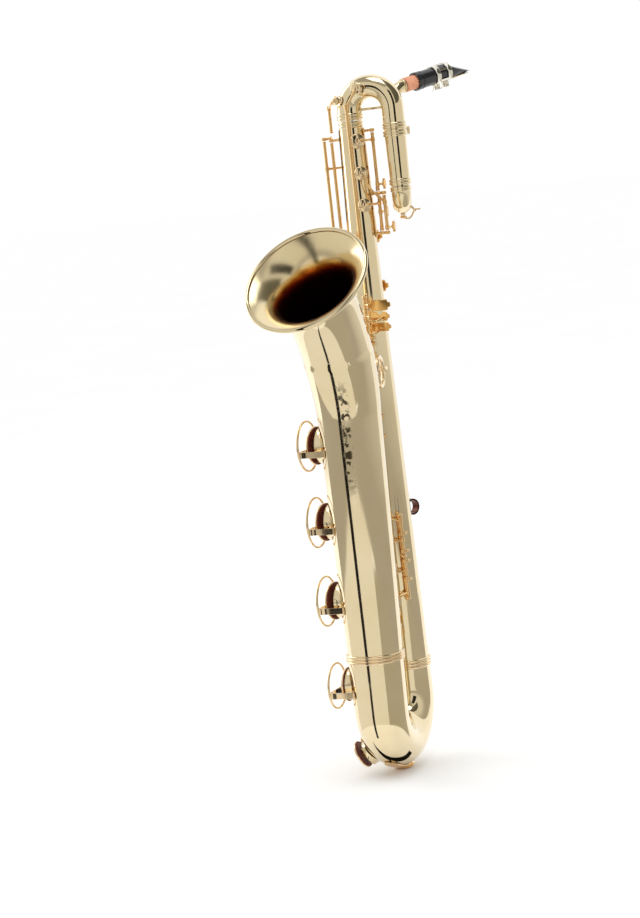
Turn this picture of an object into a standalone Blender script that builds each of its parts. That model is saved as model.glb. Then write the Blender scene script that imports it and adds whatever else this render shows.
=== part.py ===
"""Low-A baritone saxophone, modelled as separate solids on real joint axes.

Design sizes are in millimetres in the tube frame: the main body tube runs up +Z from the centre of
the ferrule at its foot, the bell stands in front of it towards -Y, and the crook loop is at +X.
The finished part is in metres with its origin at the centre of the strap ring.
"""
import math

import bmesh
import bpy
from mathutils import Matrix, Vector

MM = 0.001
GAP = 0.3

# Strap ring, the part's origin, in the tube frame.
RING = Vector((0.0, 35.0, 430.0))
RING_RADIUS = 9.0
RING_WIRE = 1.9

# Main body tube: a straight cone.
BODY_TOP = 762.0
BODY_FOOT_R = 30.4
BODY_TOP_R = 15.8
WALL = 1.2

# Bell: straight, then curving forward and BELL_LEAN degrees aside to a rim tilted by BELL_TILT degrees.
BELL_GAP = 126.0
BELL_FOOT = 38.0
BELL_STRAIGHT = 330.0
BELL_ARC = 217.0
BELL_TILT = 45.0
BELL_LEAN = 7.0
BELL_FOOT_R = 38.0
RIM_R = 89.0
FLARE_START = 420.0
FLARE_POWER = 7.0

# Bottom bow.
BOW_DROP = 35.0
BOW_R = BELL_GAP / 2

# Crook loop beside the top of the body tube.
LOOP_X = 63.0
LOOP_TOP = 775.0
BOW_BAR_Z = 776.0
LEG_TOP = 745.0
LEG_FOOT = 667.0
RECEIVER = Vector((48.0, 38.0, 0.0))
RECEIVER_TOP = 750.0

# Neck and mouthpiece: plan direction and upward pitch of the mouthpiece.
NECK_YAW = math.radians(57)
NECK_PITCH = math.radians(9.6)
NECK_BEND_R = 30.0
MOUTHPIECE_START = 20.0
MOUTHPIECE_LENGTH = 96.0
MOUTHPIECE_R = 12.3

# Keywork.
HINGE_R = 2.7
POST_R = 2.4
POST_HEAD_R = 3.7
POST_HEAD = 5.0
HINGE_HEIGHT = 12.0
CHIMNEY_H = 3.5
CUP_T = 5.2
ARM_R = 2.0
LIFT = 0.4

# Facets round each kind of piece.
BIG_SIDES = 20
TUBE_SIDES = 12
CHIMNEY_SIDES = 10
ROUND = 12
WIRE_SIDES = 6

COLLECTION = "saxophone"

# Tolerances for tidying a finished solid.
WELD = 0.004
FLAT_DEGREES = 0.3

BRASS = ((0.78, 0.62, 0.36), 0.22, 1.0)
GOLD = ((0.78, 0.52, 0.22), 0.25, 1.0)
EBONITE = ((0.012, 0.012, 0.014), 0.25, 0.0)
CORK = ((0.62, 0.30, 0.15), 0.85, 0.0)
CANE = ((0.80, 0.68, 0.42), 0.6, 0.0)
SILVER = ((0.80, 0.76, 0.66), 0.2, 1.0)


# ---------------------------------------------------------------- basic tools

def clear_scene():
    for obj in list(bpy.data.objects):
        bpy.data.objects.remove(obj, do_unlink=True)


def new_collection(name):
    collection = bpy.data.collections.new(name)
    bpy.context.scene.collection.children.link(collection)
    return collection


def direction(degrees):
    """Horizontal unit vector: 0 faces the bell (-Y) and +90 faces the crook loop (+X)."""
    angle = math.radians(degrees)
    return Vector((math.sin(angle), -math.cos(angle), 0.0))


def body_radius(z):
    return BODY_FOOT_R + (BODY_TOP_R - BODY_FOOT_R) * z / BODY_TOP


def mesh_object(name, mesh):
    obj = bpy.data.objects.new(name, mesh)
    PARTS.objects.link(obj)
    return obj


def from_bmesh(name, bm):
    mesh = bpy.data.meshes.new(name)
    bm.to_mesh(mesh)
    bm.free()
    return mesh_object(name, mesh)


def rod(start, end, radius, end_radius=None, sides=8):
    """A solid round bar between two points."""
    start, end = Vector(start), Vector(end)
    axis = end - start
    turn = axis.to_track_quat("Z", "Y").to_matrix().to_4x4()
    bm = bmesh.new()
    bmesh.ops.create_cone(
        bm, cap_ends=True, segments=sides, radius1=radius,
        radius2=radius if end_radius is None else end_radius,
        depth=axis.length, matrix=Matrix.Translation((start + end) / 2) @ turn)
    return from_bmesh("rod", bm)


def block(centre, size, along=(0, 0, 1), face=(0, -1, 0)):
    """A box: size is (across, along, thick), thick lies along face."""
    along = Vector(along).normalized()
    face = Vector(face)
    face = (face - along * face.dot(along)).normalized()
    across = along.cross(face)
    frame = Matrix((across, along, face)).transposed().to_4x4()
    bm = bmesh.new()
    bmesh.ops.create_cube(bm, size=1.0)
    bmesh.ops.transform(bm, matrix=Matrix.Diagonal((*size, 1.0)), verts=bm.verts)
    bmesh.ops.transform(bm, matrix=Matrix.Translation(centre) @ frame, verts=bm.verts)
    return from_bmesh("block", bm)


def sweep(points, radii, sides=TUBE_SIDES):
    """A round bar of changing radius along a path."""
    curve = bpy.data.curves.new("sweep", "CURVE")
    curve.dimensions = "3D"
    curve.bevel_depth = 1.0
    curve.bevel_resolution = sides // 2 - 2
    curve.use_fill_caps = True
    curve.render_resolution_u = 0
    spline = curve.splines.new("POLY")
    spline.points.add(len(points) - 1)
    for point, place, radius in zip(spline.points, points, radii):
        point.co = (*place, 1.0)
        point.radius = radius
    obj = bpy.data.objects.new("sweep", curve)
    PARTS.objects.link(obj)
    mesh = baked_mesh(obj)
    bm = bmesh.new()
    bm.from_mesh(mesh)
    bmesh.ops.remove_doubles(bm, verts=bm.verts, dist=0.001)
    bmesh.ops.recalc_face_normals(bm, faces=bm.faces)
    bm.to_mesh(mesh)
    bm.free()
    bpy.data.objects.remove(obj)
    return mesh_object("sweep", mesh)


def hoop(centre, normal, radius, wire, sides=18):
    """A ring of round wire, turned from its section."""
    turn = Vector(normal).to_track_quat("Z", "Y").to_matrix()
    points = []
    for i in range(sides):
        angle = 2 * math.pi * i / sides
        points.append(Vector(centre) + turn @ Vector((math.cos(angle), math.sin(angle), 0)) * radius)
    curve = bpy.data.curves.new("hoop", "CURVE")
    curve.dimensions = "3D"
    curve.bevel_depth = wire
    curve.bevel_resolution = WIRE_SIDES // 2 - 2
    curve.render_resolution_u = 0
    spline = curve.splines.new("POLY")
    spline.points.add(sides - 1)
    spline.use_cyclic_u = True
    for point, place in zip(spline.points, points):
        point.co = (*place, 1.0)
    obj = bpy.data.objects.new("hoop", curve)
    PARTS.objects.link(obj)
    mesh = baked_mesh(obj)
    bpy.data.objects.remove(obj)
    return mesh_object("hoop", mesh)


def baked_mesh(obj):
    graph = bpy.context.evaluated_depsgraph_get()
    return bpy.data.meshes.new_from_object(obj.evaluated_get(graph))


def boolean(base, others, operation):
    """Applies one boolean after another and removes the operands."""
    for other in others:
        modifier = base.modifiers.new(operation.lower(), "BOOLEAN")
        modifier.operation = operation
        modifier.solver = "EXACT"
        modifier.object = other
        bpy.context.view_layer.update()
        mesh = baked_mesh(base)
        base.modifiers.clear()
        base.data = mesh
        bpy.data.objects.remove(other)
    return base


def fuse(*parts):
    return boolean(parts[0], parts[1:], "UNION")


def cut(base, *parts):
    return boolean(base, parts, "DIFFERENCE")


def tidy_mesh(mesh):
    """Welds seams left by the booleans and drops vertices on flat faces and straight edges."""
    bm = bmesh.new()
    bm.from_mesh(mesh)
    bmesh.ops.remove_doubles(bm, verts=bm.verts, dist=WELD)
    bmesh.ops.dissolve_degenerate(bm, edges=bm.edges, dist=WELD)
    bmesh.ops.dissolve_limit(bm, angle_limit=math.radians(FLAT_DEGREES), verts=bm.verts, edges=bm.edges)
    bmesh.ops.triangulate(bm, faces=[face for face in bm.faces if len(face.verts) > 4])
    bmesh.ops.delete(bm, geom=[vert for vert in bm.verts if not vert.link_faces], context="VERTS")
    bm.to_mesh(mesh)
    bm.free()


def finish(obj, name, look, pivot=None):
    """Names a solid, gives it its material and puts its origin on its pivot, in metres."""
    pivot = Vector(pivot) if pivot is not None else RING.copy()
    tidy_mesh(obj.data)
    obj.name = name
    obj.data.name = name
    obj.data.transform(Matrix.Scale(MM, 4) @ Matrix.Translation(-pivot))
    obj.location = (pivot - RING) * MM
    colour, roughness, metallic = look
    material = bpy.data.materials.new(name)
    material.use_nodes = True
    shader = material.node_tree.nodes["Principled BSDF"]
    shader.inputs["Base Color"].default_value = (*colour, 1.0)
    shader.inputs["Roughness"].default_value = roughness
    shader.inputs["Metallic"].default_value = metallic
    obj.data.materials.clear()
    obj.data.materials.append(material)
    obj.data.shade_smooth()
    obj.data.set_sharp_from_angle(angle=math.radians(35))
    return obj


# ---------------------------------------------------------------- tube paths

def body_path(extend=0.0):
    points = [Vector((0, 0, -extend)), Vector((0, 0, BODY_TOP + extend))]
    return points, [BODY_FOOT_R, BODY_TOP_R]


def bell_path(steps_straight=2, steps_arc=9, extend=0.0):
    """Centre points of the bell with the distance run from its foot."""
    points, runs = [], []
    for i in range(steps_straight):
        run = BELL_STRAIGHT * i / steps_straight
        points.append(Vector((0, -BELL_GAP, BELL_FOOT + run)))
        runs.append(run)
    radius = BELL_ARC / math.radians(BELL_TILT)
    for i in range(steps_arc + 1):
        part = 1 - (1 - i / steps_arc) ** 1.7
        angle = math.radians(BELL_TILT) * part
        foot = Vector((0, -BELL_GAP, BELL_FOOT + BELL_STRAIGHT + radius * math.sin(angle)))
        points.append(foot + direction(-BELL_LEAN) * radius * (1 - math.cos(angle)))
        runs.append(BELL_STRAIGHT + BELL_ARC * part)
    points[0] = points[0] - Vector((0, 0, extend))
    if extend:
        mouth = (points[-1] - points[-2]).normalized()
        points.append(points[-1] + mouth * extend)
        runs.append(runs[-1])
    return points, runs


def bell_radius(run):
    """Gentle cone up to FLARE_START, then a widening flare out to the rim."""
    straight = BELL_FOOT_R + 5.5 * (run / BELL_STRAIGHT) ** 0.8
    if run > BELL_STRAIGHT:
        straight += 4.0 * (run - BELL_STRAIGHT) / (FLARE_START - BELL_STRAIGHT)
    if run <= FLARE_START:
        return straight
    start = BELL_FOOT_R + 9.5 + 0.03 * (run - FLARE_START)
    part = (run - FLARE_START) / (BELL_STRAIGHT + BELL_ARC - FLARE_START)
    return start + (RIM_R - 2 - start) * part ** FLARE_POWER


def bow_path(steps=8, extend=0.0):
    points = [Vector((0, 0, extend)), Vector((0, 0, -BOW_DROP))]
    for i in range(1, steps):
        angle = math.pi * i / steps
        points.append(Vector((0, -BOW_R + BOW_R * math.cos(angle), -BOW_DROP - BOW_R * math.sin(angle))))
    points.append(Vector((0, -BELL_GAP, -BOW_DROP)))
    points.append(Vector((0, -BELL_GAP, BELL_FOOT - 2 * GAP + extend)))
    radii = []
    for i in range(len(points)):
        radii.append(BODY_FOOT_R + (BELL_FOOT_R - BODY_FOOT_R) * i / (len(points) - 1))
    return points, radii


def u_path(start, end, top, steps=8, tail_start=0.0, tail_end=0.0):
    """A path from start up (or down) to level top, half round to above end, and back to end."""
    start, end = Vector(start), Vector(end)
    centre = (start + end) / 2
    centre.z = top
    arm = (end - start) / 2
    arm.z = 0
    rise = math.copysign(arm.length, top - start.z)
    points = [start - Vector((0, 0, math.copysign(tail_start, rise)))]
    for i in range(steps + 1):
        angle = math.pi * i / steps
        points.append(centre - arm * math.cos(angle) + Vector((0, 0, rise * math.sin(angle))))
    points.append(end - Vector((0, 0, math.copysign(tail_end, rise))))
    return points


def graded(first, last, count):
    return [first + (last - first) * i / (count - 1) for i in range(count)]


def thinner(radii, wall=WALL):
    return [radius - wall for radius in radii]


# ---------------------------------------------------------------- tone holes

# name: (body facing in degrees, height, cup radius)
BODY_HOLES = {
    "d_key": (-17, 92, 18.5),
    "e_key": (-17, 136, 18.5),
    "f_key": (-17, 179, 17.5),
    "fsharp_key": (-17, 220, 16.5),
    "gsharp_key": (-41, 296, 14.0),
    "g_key": (-41, 336, 16.0),
    "a_key": (-41, 374, 14.5),
    "bis_key": (-41, 452, 9.5),
    "b_key": (-41, 484, 12.5),
    "side_bb_key": (-127, 520, 11.5),
    "side_c_key": (-127, 566, 11.0),
    "palm_d_key": (38, 646, 9.5),
    "palm_eb_key": (38, 690, 9.5),
    "high_e_key": (-142, 700, 9.0),
    "palm_f_key": (38, 734, 10.5),
    "low_eb_key": (-97, 44, 21.0),
}

# name: (height, cup radius) of the cups on the player's right of the bell
BELL_HOLES = {
    "low_b_key": (115, 26.5),
    "low_bb_key": (225, 26.5),
    "low_a_key": (331, 26.5),
}
CSHARP_Z = -2.0
CSHARP_CUP_R = 24.0
BELL_FACE = -92.0
LOW_C_BEND = math.radians(58)
LOW_C_FACE = Vector((-0.88, -0.12, -0.46)).normalized()
LOW_C_CUP_R = 20.0
VENT_FACE = Vector((-0.62, -0.78, 0.0)).normalized()
VENT_Z = 792.0
FRONT_F_FACE = Vector((0.0, -1.0, 0.0))
FRONT_F_ANGLE = math.radians(72)


def chimney_radius(cup_radius):
    return cup_radius - 2.6


def chimney(foot, face, height, cup_radius, shrink=0.0, extra=0.0):
    """A round chimney from the tube's centre line out to its flat lip."""
    radius = chimney_radius(cup_radius) - shrink
    return rod(foot, foot + face * (height + extra), radius, sides=CHIMNEY_SIDES)


def pierced(tube, bore, holes):
    """Joins chimneys to a solid tube, then clears the bore and every hole."""
    for foot, face, height, cup_radius in holes:
        fuse(tube, chimney(foot, face, height, cup_radius))
    cut(tube, bore)
    for foot, face, height, cup_radius in holes:
        cut(tube, chimney(foot, face, height, cup_radius, shrink=1.3, extra=5.0))
    return tube


def body_hole(name):
    facing, z, cup_radius = BODY_HOLES[name]
    return Vector((0, 0, z)), direction(facing), body_radius(z) + CHIMNEY_H, cup_radius


def bell_hole(name):
    z, cup_radius = BELL_HOLES[name]
    return Vector((0, -BELL_GAP, z)), direction(BELL_FACE), bell_radius(z - BELL_FOOT) + CHIMNEY_H, cup_radius


def csharp_hole():
    return Vector((0, -BELL_GAP, CSHARP_Z)), direction(BELL_FACE), BELL_FOOT_R + CHIMNEY_H, CSHARP_CUP_R


def low_c_hole():
    foot = Vector((0, -BOW_R - BOW_R * math.cos(LOW_C_BEND), -BOW_DROP - BOW_R * math.sin(LOW_C_BEND)))
    return foot, LOW_C_FACE, BELL_FOOT_R - 1.5 + CHIMNEY_H, LOW_C_CUP_R


def vent_hole():
    return Vector((2.0, 0, VENT_Z)), VENT_FACE, 17.0 + CHIMNEY_H, 7.0


def front_f_hole():
    middle = LOOP_X / 2
    foot = Vector((middle - middle * math.cos(FRONT_F_ANGLE), 0, LOOP_TOP + middle * math.sin(FRONT_F_ANGLE)))
    return foot, FRONT_F_FACE, 16.6 + CHIMNEY_H, 8.0


# ---------------------------------------------------------------- tubes

def make_body_tube():
    points, radii = body_path()
    bore_points, bore_radii = body_path(extend=2.0)
    tube = sweep(points, radii, BIG_SIDES)
    bore = sweep(bore_points, thinner(bore_radii), BIG_SIDES)
    pierced(tube, bore, [body_hole(name) for name in BODY_HOLES])
    finish(tube, "body_tube", BRASS)


def make_bell():
    points, runs = bell_path()
    radii = [bell_radius(run) for run in runs]
    tube = sweep(points, radii, BIG_SIDES)
    tilt = math.radians(BELL_TILT)
    rim_normal = direction(-BELL_LEAN) * math.sin(tilt) + Vector((0, 0, math.cos(tilt)))
    fuse(tube, hoop(points[-1] - rim_normal * 1.5, rim_normal, RIM_R - 3.4, 3.4, sides=BIG_SIDES))
    bore_points, bore_runs = bell_path(extend=8.0)
    bore_radii = [bell_radius(run) - WALL for run in bore_runs]
    bore = sweep(bore_points, bore_radii, BIG_SIDES)
    pierced(tube, bore, [bell_hole(name) for name in BELL_HOLES])
    finish(tube, "bell", BRASS)


def make_bottom_bow():
    points, radii = bow_path()
    points[0].z = -GAP * 2
    tube = sweep(points, radii, BIG_SIDES)
    bore_points, bore_radii = bow_path(extend=3.0)
    bore = sweep(bore_points, thinner(bore_radii), BIG_SIDES)
    pierced(tube, bore, [csharp_hole(), low_c_hole()])
    finish(tube, "bottom_bow", BRASS)


def collar(name, centre, inner, outer, height, axis=(0, 0, 1)):
    """A plain soldered ring round a tube joint."""
    axis = Vector(axis)
    ring = rod(centre - axis * height / 2, centre + axis * height / 2, outer, sides=BIG_SIDES)
    cut(ring, rod(centre - axis * height, centre + axis * height, inner, sides=BIG_SIDES))
    return finish(ring, name, GOLD)


def make_ferrules():
    collar("body_ferrule", Vector((0, 0, 0)), BODY_FOOT_R + GAP + 0.2, BODY_FOOT_R + 3.0, 13.0)
    collar("bell_ferrule", Vector((0, -BELL_GAP, BELL_FOOT)), BELL_FOOT_R + GAP + 0.5, BELL_FOOT_R + 3.2, 12.0)


def make_upper_bow():
    start, end = Vector((0, 0, BODY_TOP + GAP * 2)), Vector((LOOP_X, 0, LEG_TOP))
    points = u_path(start, end, LOOP_TOP)
    radii = graded(17.0, 15.6, len(points))
    tube = sweep(points, radii)
    fuse(tube, rod((14.0, 0, BOW_BAR_Z), (LOOP_X - 13.5, 0, BOW_BAR_Z), 2.0))
    bore_points = u_path(start, end, LOOP_TOP, tail_start=3.0, tail_end=3.0)
    bore = sweep(bore_points, thinner(radii))
    pierced(tube, bore, [vent_hole(), front_f_hole()])
    finish(tube, "upper_bow", BRASS)


def make_loop():
    top = Vector((LOOP_X, 0, LEG_TOP - GAP * 2))
    foot = Vector((LOOP_X, 0, LEG_FOOT + GAP))
    leg = rod(foot, top, 13.8, 15.2, sides=TUBE_SIDES)
    for z, radius in ((LEG_TOP - 6, 17.0), (LEG_FOOT + 6, 15.4)):
        fuse(leg, rod((LOOP_X, 0, z - 4), (LOOP_X, 0, z + 4), radius, sides=TUBE_SIDES))
    beyond = Vector((0, 0, 3))
    cut(leg, rod(foot - beyond, top + beyond, 12.6, 14.0, sides=TUBE_SIDES))
    finish(leg, "loop_tube", BRASS)


def make_small_bow():
    start = Vector((LOOP_X, 0, LEG_FOOT))
    end = Vector((RECEIVER.x, RECEIVER.y, LEG_FOOT))
    start.z -= GAP
    end.z -= GAP
    points = u_path(start, end, LEG_FOOT - 6.0, steps=6)
    radii = graded(13.6, 12.4, len(points))
    bow = sweep(points, radii)
    low = (start + end) / 2 - Vector((0, 0, 26.0))
    across = (end - start).normalized()
    side = across.cross(Vector((0, 0, 1)))
    lug_foot = low + side * 9.0
    for offset in (-5.5, 5.5):
        foot = lug_foot + across * offset
        fuse(bow, rod(foot, foot + side * 7.5 - Vector((0, 0, 9)), 1.7, sides=8))
    fuse(bow, rod(low, low - Vector((0, 0, 15.0)), 3.6))
    bore_points = u_path(start, end, LEG_FOOT - 6.0, steps=6, tail_start=3.0, tail_end=3.0)
    cut(bow, sweep(bore_points, thinner(radii)))
    cut(bow, rod(low, low - Vector((0, 0, 20.0)), 2.2))
    finish(bow, "small_bow", BRASS)


def make_receiver():
    foot = Vector((RECEIVER.x, RECEIVER.y, LEG_FOOT + GAP))
    top = Vector((RECEIVER.x, RECEIVER.y, RECEIVER_TOP))
    tube = rod(foot, top, 12.4, 12.0, sides=TUBE_SIDES)
    fuse(tube, rod(top - Vector((0, 0, 17)), top, 13.8, sides=TUBE_SIDES))
    out = receiver_screw_side()
    along = out.cross(Vector((0, 0, 1)))
    lugs = block(top + out * 16.5 - Vector((0, 0, 8.5)), (12.0, 11.0, 11.0), face=out)
    fuse(tube, lugs)
    cut(tube, rod(foot - Vector((0, 0, 3)), top + Vector((0, 0, 3)), 11.1, sides=TUBE_SIDES))
    cut(tube, block(top + out * 16.5 - Vector((0, 0, 8.5)), (1.6, 24.0, 16.0), face=out))
    screw = top + out * 18.2 - Vector((0, 0, 8.5))
    cut(tube, rod(screw - along * 20, screw + along * 20, 2.3, sides=12))
    finish(tube, "neck_receiver", BRASS)


def receiver_screw_side():
    return direction(112)


def make_bow_guard():
    low = Vector((0, -BOW_R, -BOW_DROP - BOW_R))
    guard = rod(low - Vector((0, 0, 30)), low - Vector((0, 0, 38.5)), 16.0, 13.0, sides=24)
    fuse(guard, block(low - Vector((0, 0, 29)), (26.0, 60.0, 18.0), along=(0, 1, 0), face=(0, 0, 1)))
    points, radii = bow_path(steps=24)
    cut(guard, sweep(points, [radius + GAP for radius in radii], sides=BIG_SIDES))
    cut(guard, block(low + Vector((0, 0, -14)), (60.0, 90.0, 20.0), along=(0, 1, 0), face=(0, 0, 1)))
    finish(guard, "bow_guard", GOLD)


def make_brace():
    """The open ring soldered between the body tube and the bell."""
    z = 419.0
    near = Vector((16.0, -14.0, z))
    far = Vector((31.0, -99.0, z))
    line = (far - near).normalized()
    middle = (near + far) / 2 + Vector((2.0, 0, 0))
    side = line.cross(Vector((0, 0, 1)))
    ring = hoop(middle, side, 20.0, 3.0, sides=22)
    fuse(ring, rod(middle - line * 19.0, near - line * 4.0, 3.4, 5.0, sides=10))
    fuse(ring, rod(middle + line * 19.0, far + line * 6.0, 3.4, 5.0, sides=12))
    points, radii = body_path(extend=2.0)
    cut(ring, sweep(points, [radius + GAP for radius in radii], sides=BIG_SIDES))
    bell_points, runs = bell_path(steps_arc=24)
    cut(ring, sweep(bell_points, [bell_radius(run) + GAP + 0.2 for run in runs], sides=BIG_SIDES))
    finish(ring, "bell_brace", GOLD)


def body_saddle(facing, z, width, height, thick):
    """A plate bent to the body tube's surface."""
    face = direction(facing)
    plate = block(face * (body_radius(z) + thick / 2 - 1.5) + Vector((0, 0, z)),
                  (width, height, thick + 3.0), face=face)
    return plate


def trim_to_body(obj):
    points, radii = body_path(extend=2.0)
    return cut(obj, sweep(points, [radius + GAP for radius in radii], sides=BIG_SIDES))


def make_strap_ring():
    plate = body_saddle(180, RING.z, 14.0, 44.0, 2.2)
    fuse(plate, hoop(RING, (1, 0, 0), RING_RADIUS, RING_WIRE, sides=24))
    trim_to_body(plate)
    finish(plate, "strap_ring", GOLD)


def arc_points(centre, radius, first, last, steps=9):
    points = []
    for i in range(steps + 1):
        angle = math.radians(first + (last - first) * i / steps)
        points.append((centre + radius * math.cos(angle), radius * math.sin(angle)))
    return points


def outline_plate(outline, thick, across, up, place):
    """A flat outline drawn along across and up at place, thick centred on the outline's plane."""
    curve = bpy.data.curves.new("outline", "CURVE")
    curve.dimensions = "2D"
    curve.fill_mode = "BOTH"
    curve.extrude = thick / 2
    spline = curve.splines.new("POLY")
    spline.points.add(len(outline) - 1)
    spline.use_cyclic_u = True
    for point, (x, y) in zip(spline.points, outline):
        point.co = (x, y, 0.0, 1.0)
    obj = bpy.data.objects.new("outline", curve)
    PARTS.objects.link(obj)
    mesh = baked_mesh(obj)
    bpy.data.objects.remove(obj)
    bm = bmesh.new()
    bm.from_mesh(mesh)
    bmesh.ops.remove_doubles(bm, verts=bm.verts, dist=0.001)
    frame = Matrix((across, up, across.cross(up))).transposed().to_4x4()
    bmesh.ops.transform(bm, matrix=Matrix.Translation(place) @ frame, verts=bm.verts)
    bmesh.ops.recalc_face_normals(bm, faces=bm.faces)
    bm.to_mesh(mesh)
    bm.free()
    return mesh_object("outline", mesh)


def make_thumb_hook():
    """A bent sheet that goes out over the right thumb and curls back in below it."""
    z = 216.0
    face = direction(150)
    base = body_saddle(150, z + 8.0, 16.0, 38.0, 2.4)
    sheet = arc_points(8.0, 11.5, 127, -100) + arc_points(8.0, 9.2, -100, 127)
    place = face * body_radius(z) + Vector((0, 0, z))
    fuse(base, outline_plate(sheet, 14.0, face, Vector((0, 0, 1)), place))
    screw = face * (body_radius(z) + 1.0) + Vector((0, 0, z + 20.0))
    fuse(base, rod(screw, screw + face * 4.0, 3.5, sides=10))
    trim_to_body(base)
    finish(base, "thumb_hook", GOLD)


# ---------------------------------------------------------------- neck and mouthpiece

def neck_points(steps=6):
    ahead = Vector((math.cos(NECK_YAW), math.sin(NECK_YAW), 0))
    rise_end = 90 - math.degrees(NECK_PITCH)
    bend_z = 806.0 - NECK_BEND_R * math.sin(math.radians(rise_end)) - 3.0
    base = Vector((RECEIVER.x, RECEIVER.y, 0))
    points = [base + Vector((0, 0, RECEIVER_TOP - 18))]
    points.append(base + Vector((0, 0, bend_z)))
    for i in range(1, steps + 1):
        angle = math.radians(rise_end) * i / steps
        points.append(base + ahead * NECK_BEND_R * (1 - math.cos(angle))
                      + Vector((0, 0, bend_z + NECK_BEND_R * math.sin(angle))))
    return points


def mouthpiece_axis():
    flat = math.cos(NECK_PITCH)
    return Vector((math.cos(NECK_YAW) * flat, math.sin(NECK_YAW) * flat, math.sin(NECK_PITCH)))


def neck_end():
    return neck_points()[-1]


def mouthpiece_down():
    axis = mouthpiece_axis()
    side = axis.cross(Vector((0, 0, 1))).normalized()
    return side.cross(axis).normalized() * -1.0


def make_neck():
    points = neck_points()
    points.append(neck_end() + mouthpiece_axis() * 34.0)
    radii = graded(10.7, 9.0, len(points))
    radii[-1] = 8.2
    radii[-2] = 8.2
    tube = sweep(points, radii)
    fuse(tube, rod((RECEIVER.x, RECEIVER.y, RECEIVER_TOP + 0.6), (RECEIVER.x, RECEIVER.y, RECEIVER_TOP + 5.0),
                   13.0, 12.0, sides=TUBE_SIDES))
    bore = list(points)
    bore[0] = bore[0] - Vector((0, 0, 3))
    bore[-1] = bore[-1] + mouthpiece_axis() * 3.0
    cut(tube, sweep(bore, thinner(radii)))
    finish(tube, "neck", BRASS, (RECEIVER.x, RECEIVER.y, RECEIVER_TOP))


def make_cork():
    axis = mouthpiece_axis()
    start = neck_end() + axis * 1.0
    end = neck_end() + axis * 34.0
    cork = rod(start, end, 10.1, 9.8, sides=20)
    cut(cork, rod(start - axis * 3, end + axis * 3, 8.2 + GAP + 0.2, sides=20))
    finish(cork, "neck_cork", CORK)


def make_mouthpiece():
    """Turned barrel with a bore, a flat table below and a sloped beak above."""
    axis, down = mouthpiece_axis(), mouthpiece_down()
    start = neck_end() + axis * MOUTHPIECE_START
    tip = start + axis * MOUTHPIECE_LENGTH
    lines = [0.0, 5.0, 6.0, 48.0, 70.0, MOUTHPIECE_LENGTH]
    radii = [13.0, 13.0, 12.0, MOUTHPIECE_R, MOUTHPIECE_R - 0.8, 8.6]
    piece = sweep([start + axis * line for line in lines], radii, sides=18)
    slope = (axis * 34.0 + down * 15.2).normalized()
    beak = tip - axis * 17.0 - down * 1.6
    normal = (slope.cross(axis.cross(down))).normalized()
    if normal.dot(down) > 0:
        normal = -normal
    cut(piece, block(beak + normal * 15.0, (60.0, 70.0, 30.0), along=slope, face=normal))
    table = start + axis * 66.0 + down * (9.2 + 15.0)
    cut(piece, block(table, (60.0, 72.0, 30.0), along=axis, face=down))
    cut(piece, rod(start - axis * 3, start + axis * 60.0, 10.4, 9.8, sides=20))
    cut(piece, block(start + axis * 72.0 + down * 7.0, (11.0, 34.0, 12.0), along=axis, face=down))
    finish(piece, "mouthpiece", EBONITE, neck_end())


def make_reed():
    axis, down = mouthpiece_axis(), mouthpiece_down()
    start = neck_end() + axis * MOUTHPIECE_START
    top = 9.2 + GAP
    reed = block(start + axis * 62.0 + down * (top + 1.4), (16.0, 64.0, 2.8), along=axis, face=down)
    slope = (axis * 34.0 - down * 2.4).normalized()
    normal = (down - slope * down.dot(slope)).normalized()
    cut(reed, block(start + axis * 80.0 + down * (top + 1.5) + normal * 5.0, (40.0, 46.0, 10.0),
                    along=slope, face=normal))
    boolean(reed, [rod(start, start + axis * 110, MOUTHPIECE_R + 0.3, sides=32)], "INTERSECT")
    finish(reed, "reed", CANE, neck_end())


def ligature_middle():
    return neck_end() + mouthpiece_axis() * (MOUTHPIECE_START + 46.0)


def make_ligature():
    axis, down = mouthpiece_axis(), mouthpiece_down()
    side = axis.cross(down)
    middle = ligature_middle()
    band = rod(middle - axis * 14, middle + axis * 14, MOUTHPIECE_R + 2.0, sides=20)
    for step in (-8.0, 8.0):
        fuse(band, block(middle + axis * step + down * 17.0, (9.0, 7.0, 8.0), along=axis, face=down))
    cut(band, rod(middle - axis * 20, middle + axis * 20, MOUTHPIECE_R + 0.9, sides=20))
    cut(band, block(middle + down * 18.0, (1.4, 40.0, 12.0), along=axis, face=down))
    for step in (-8.0, 8.0):
        centre = middle + axis * step + down * 18.0
        cut(band, rod(centre - side * 12, centre + side * 12, 1.8, sides=10))
    finish(band, "ligature", SILVER, neck_end())


def thumbscrew(name, centre, axis, length, shaft, head, look):
    """A screw through centre with a flat finger head."""
    axis = Vector(axis).normalized()
    screw = rod(centre - axis * length / 2, centre + axis * length / 2, shaft, sides=10)
    fuse(screw, rod(centre + axis * (length / 2 - 0.5), centre + axis * (length / 2 + 4.0), head * 0.6, sides=12))
    up = axis.cross(Vector((0.3, 0.2, 1.0))).normalized()
    fuse(screw, block(centre + axis * (length / 2 + 3.5 + head), (2.0, 2 * head + 3, 1.7 * head),
                      along=axis, face=up))
    finish(screw, name, look, centre)


def make_screws():
    axis, down = mouthpiece_axis(), mouthpiece_down()
    side = axis.cross(down)
    for name, step in (("ligature_screw_back", -8.0), ("ligature_screw_front", 8.0)):
        centre = ligature_middle() + axis * step + down * 18.0
        thumbscrew(name, centre, side, 11.0, 1.4, 3.2, GOLD)
    out = receiver_screw_side()
    along = out.cross(Vector((0, 0, 1)))
    centre = Vector((RECEIVER.x, RECEIVER.y, RECEIVER_TOP)) + out * 18.2 - Vector((0, 0, 8.5))
    thumbscrew("neck_screw", centre, -along, 15.0, 1.9, 4.5, GOLD)


# ---------------------------------------------------------------- keywork

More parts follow.
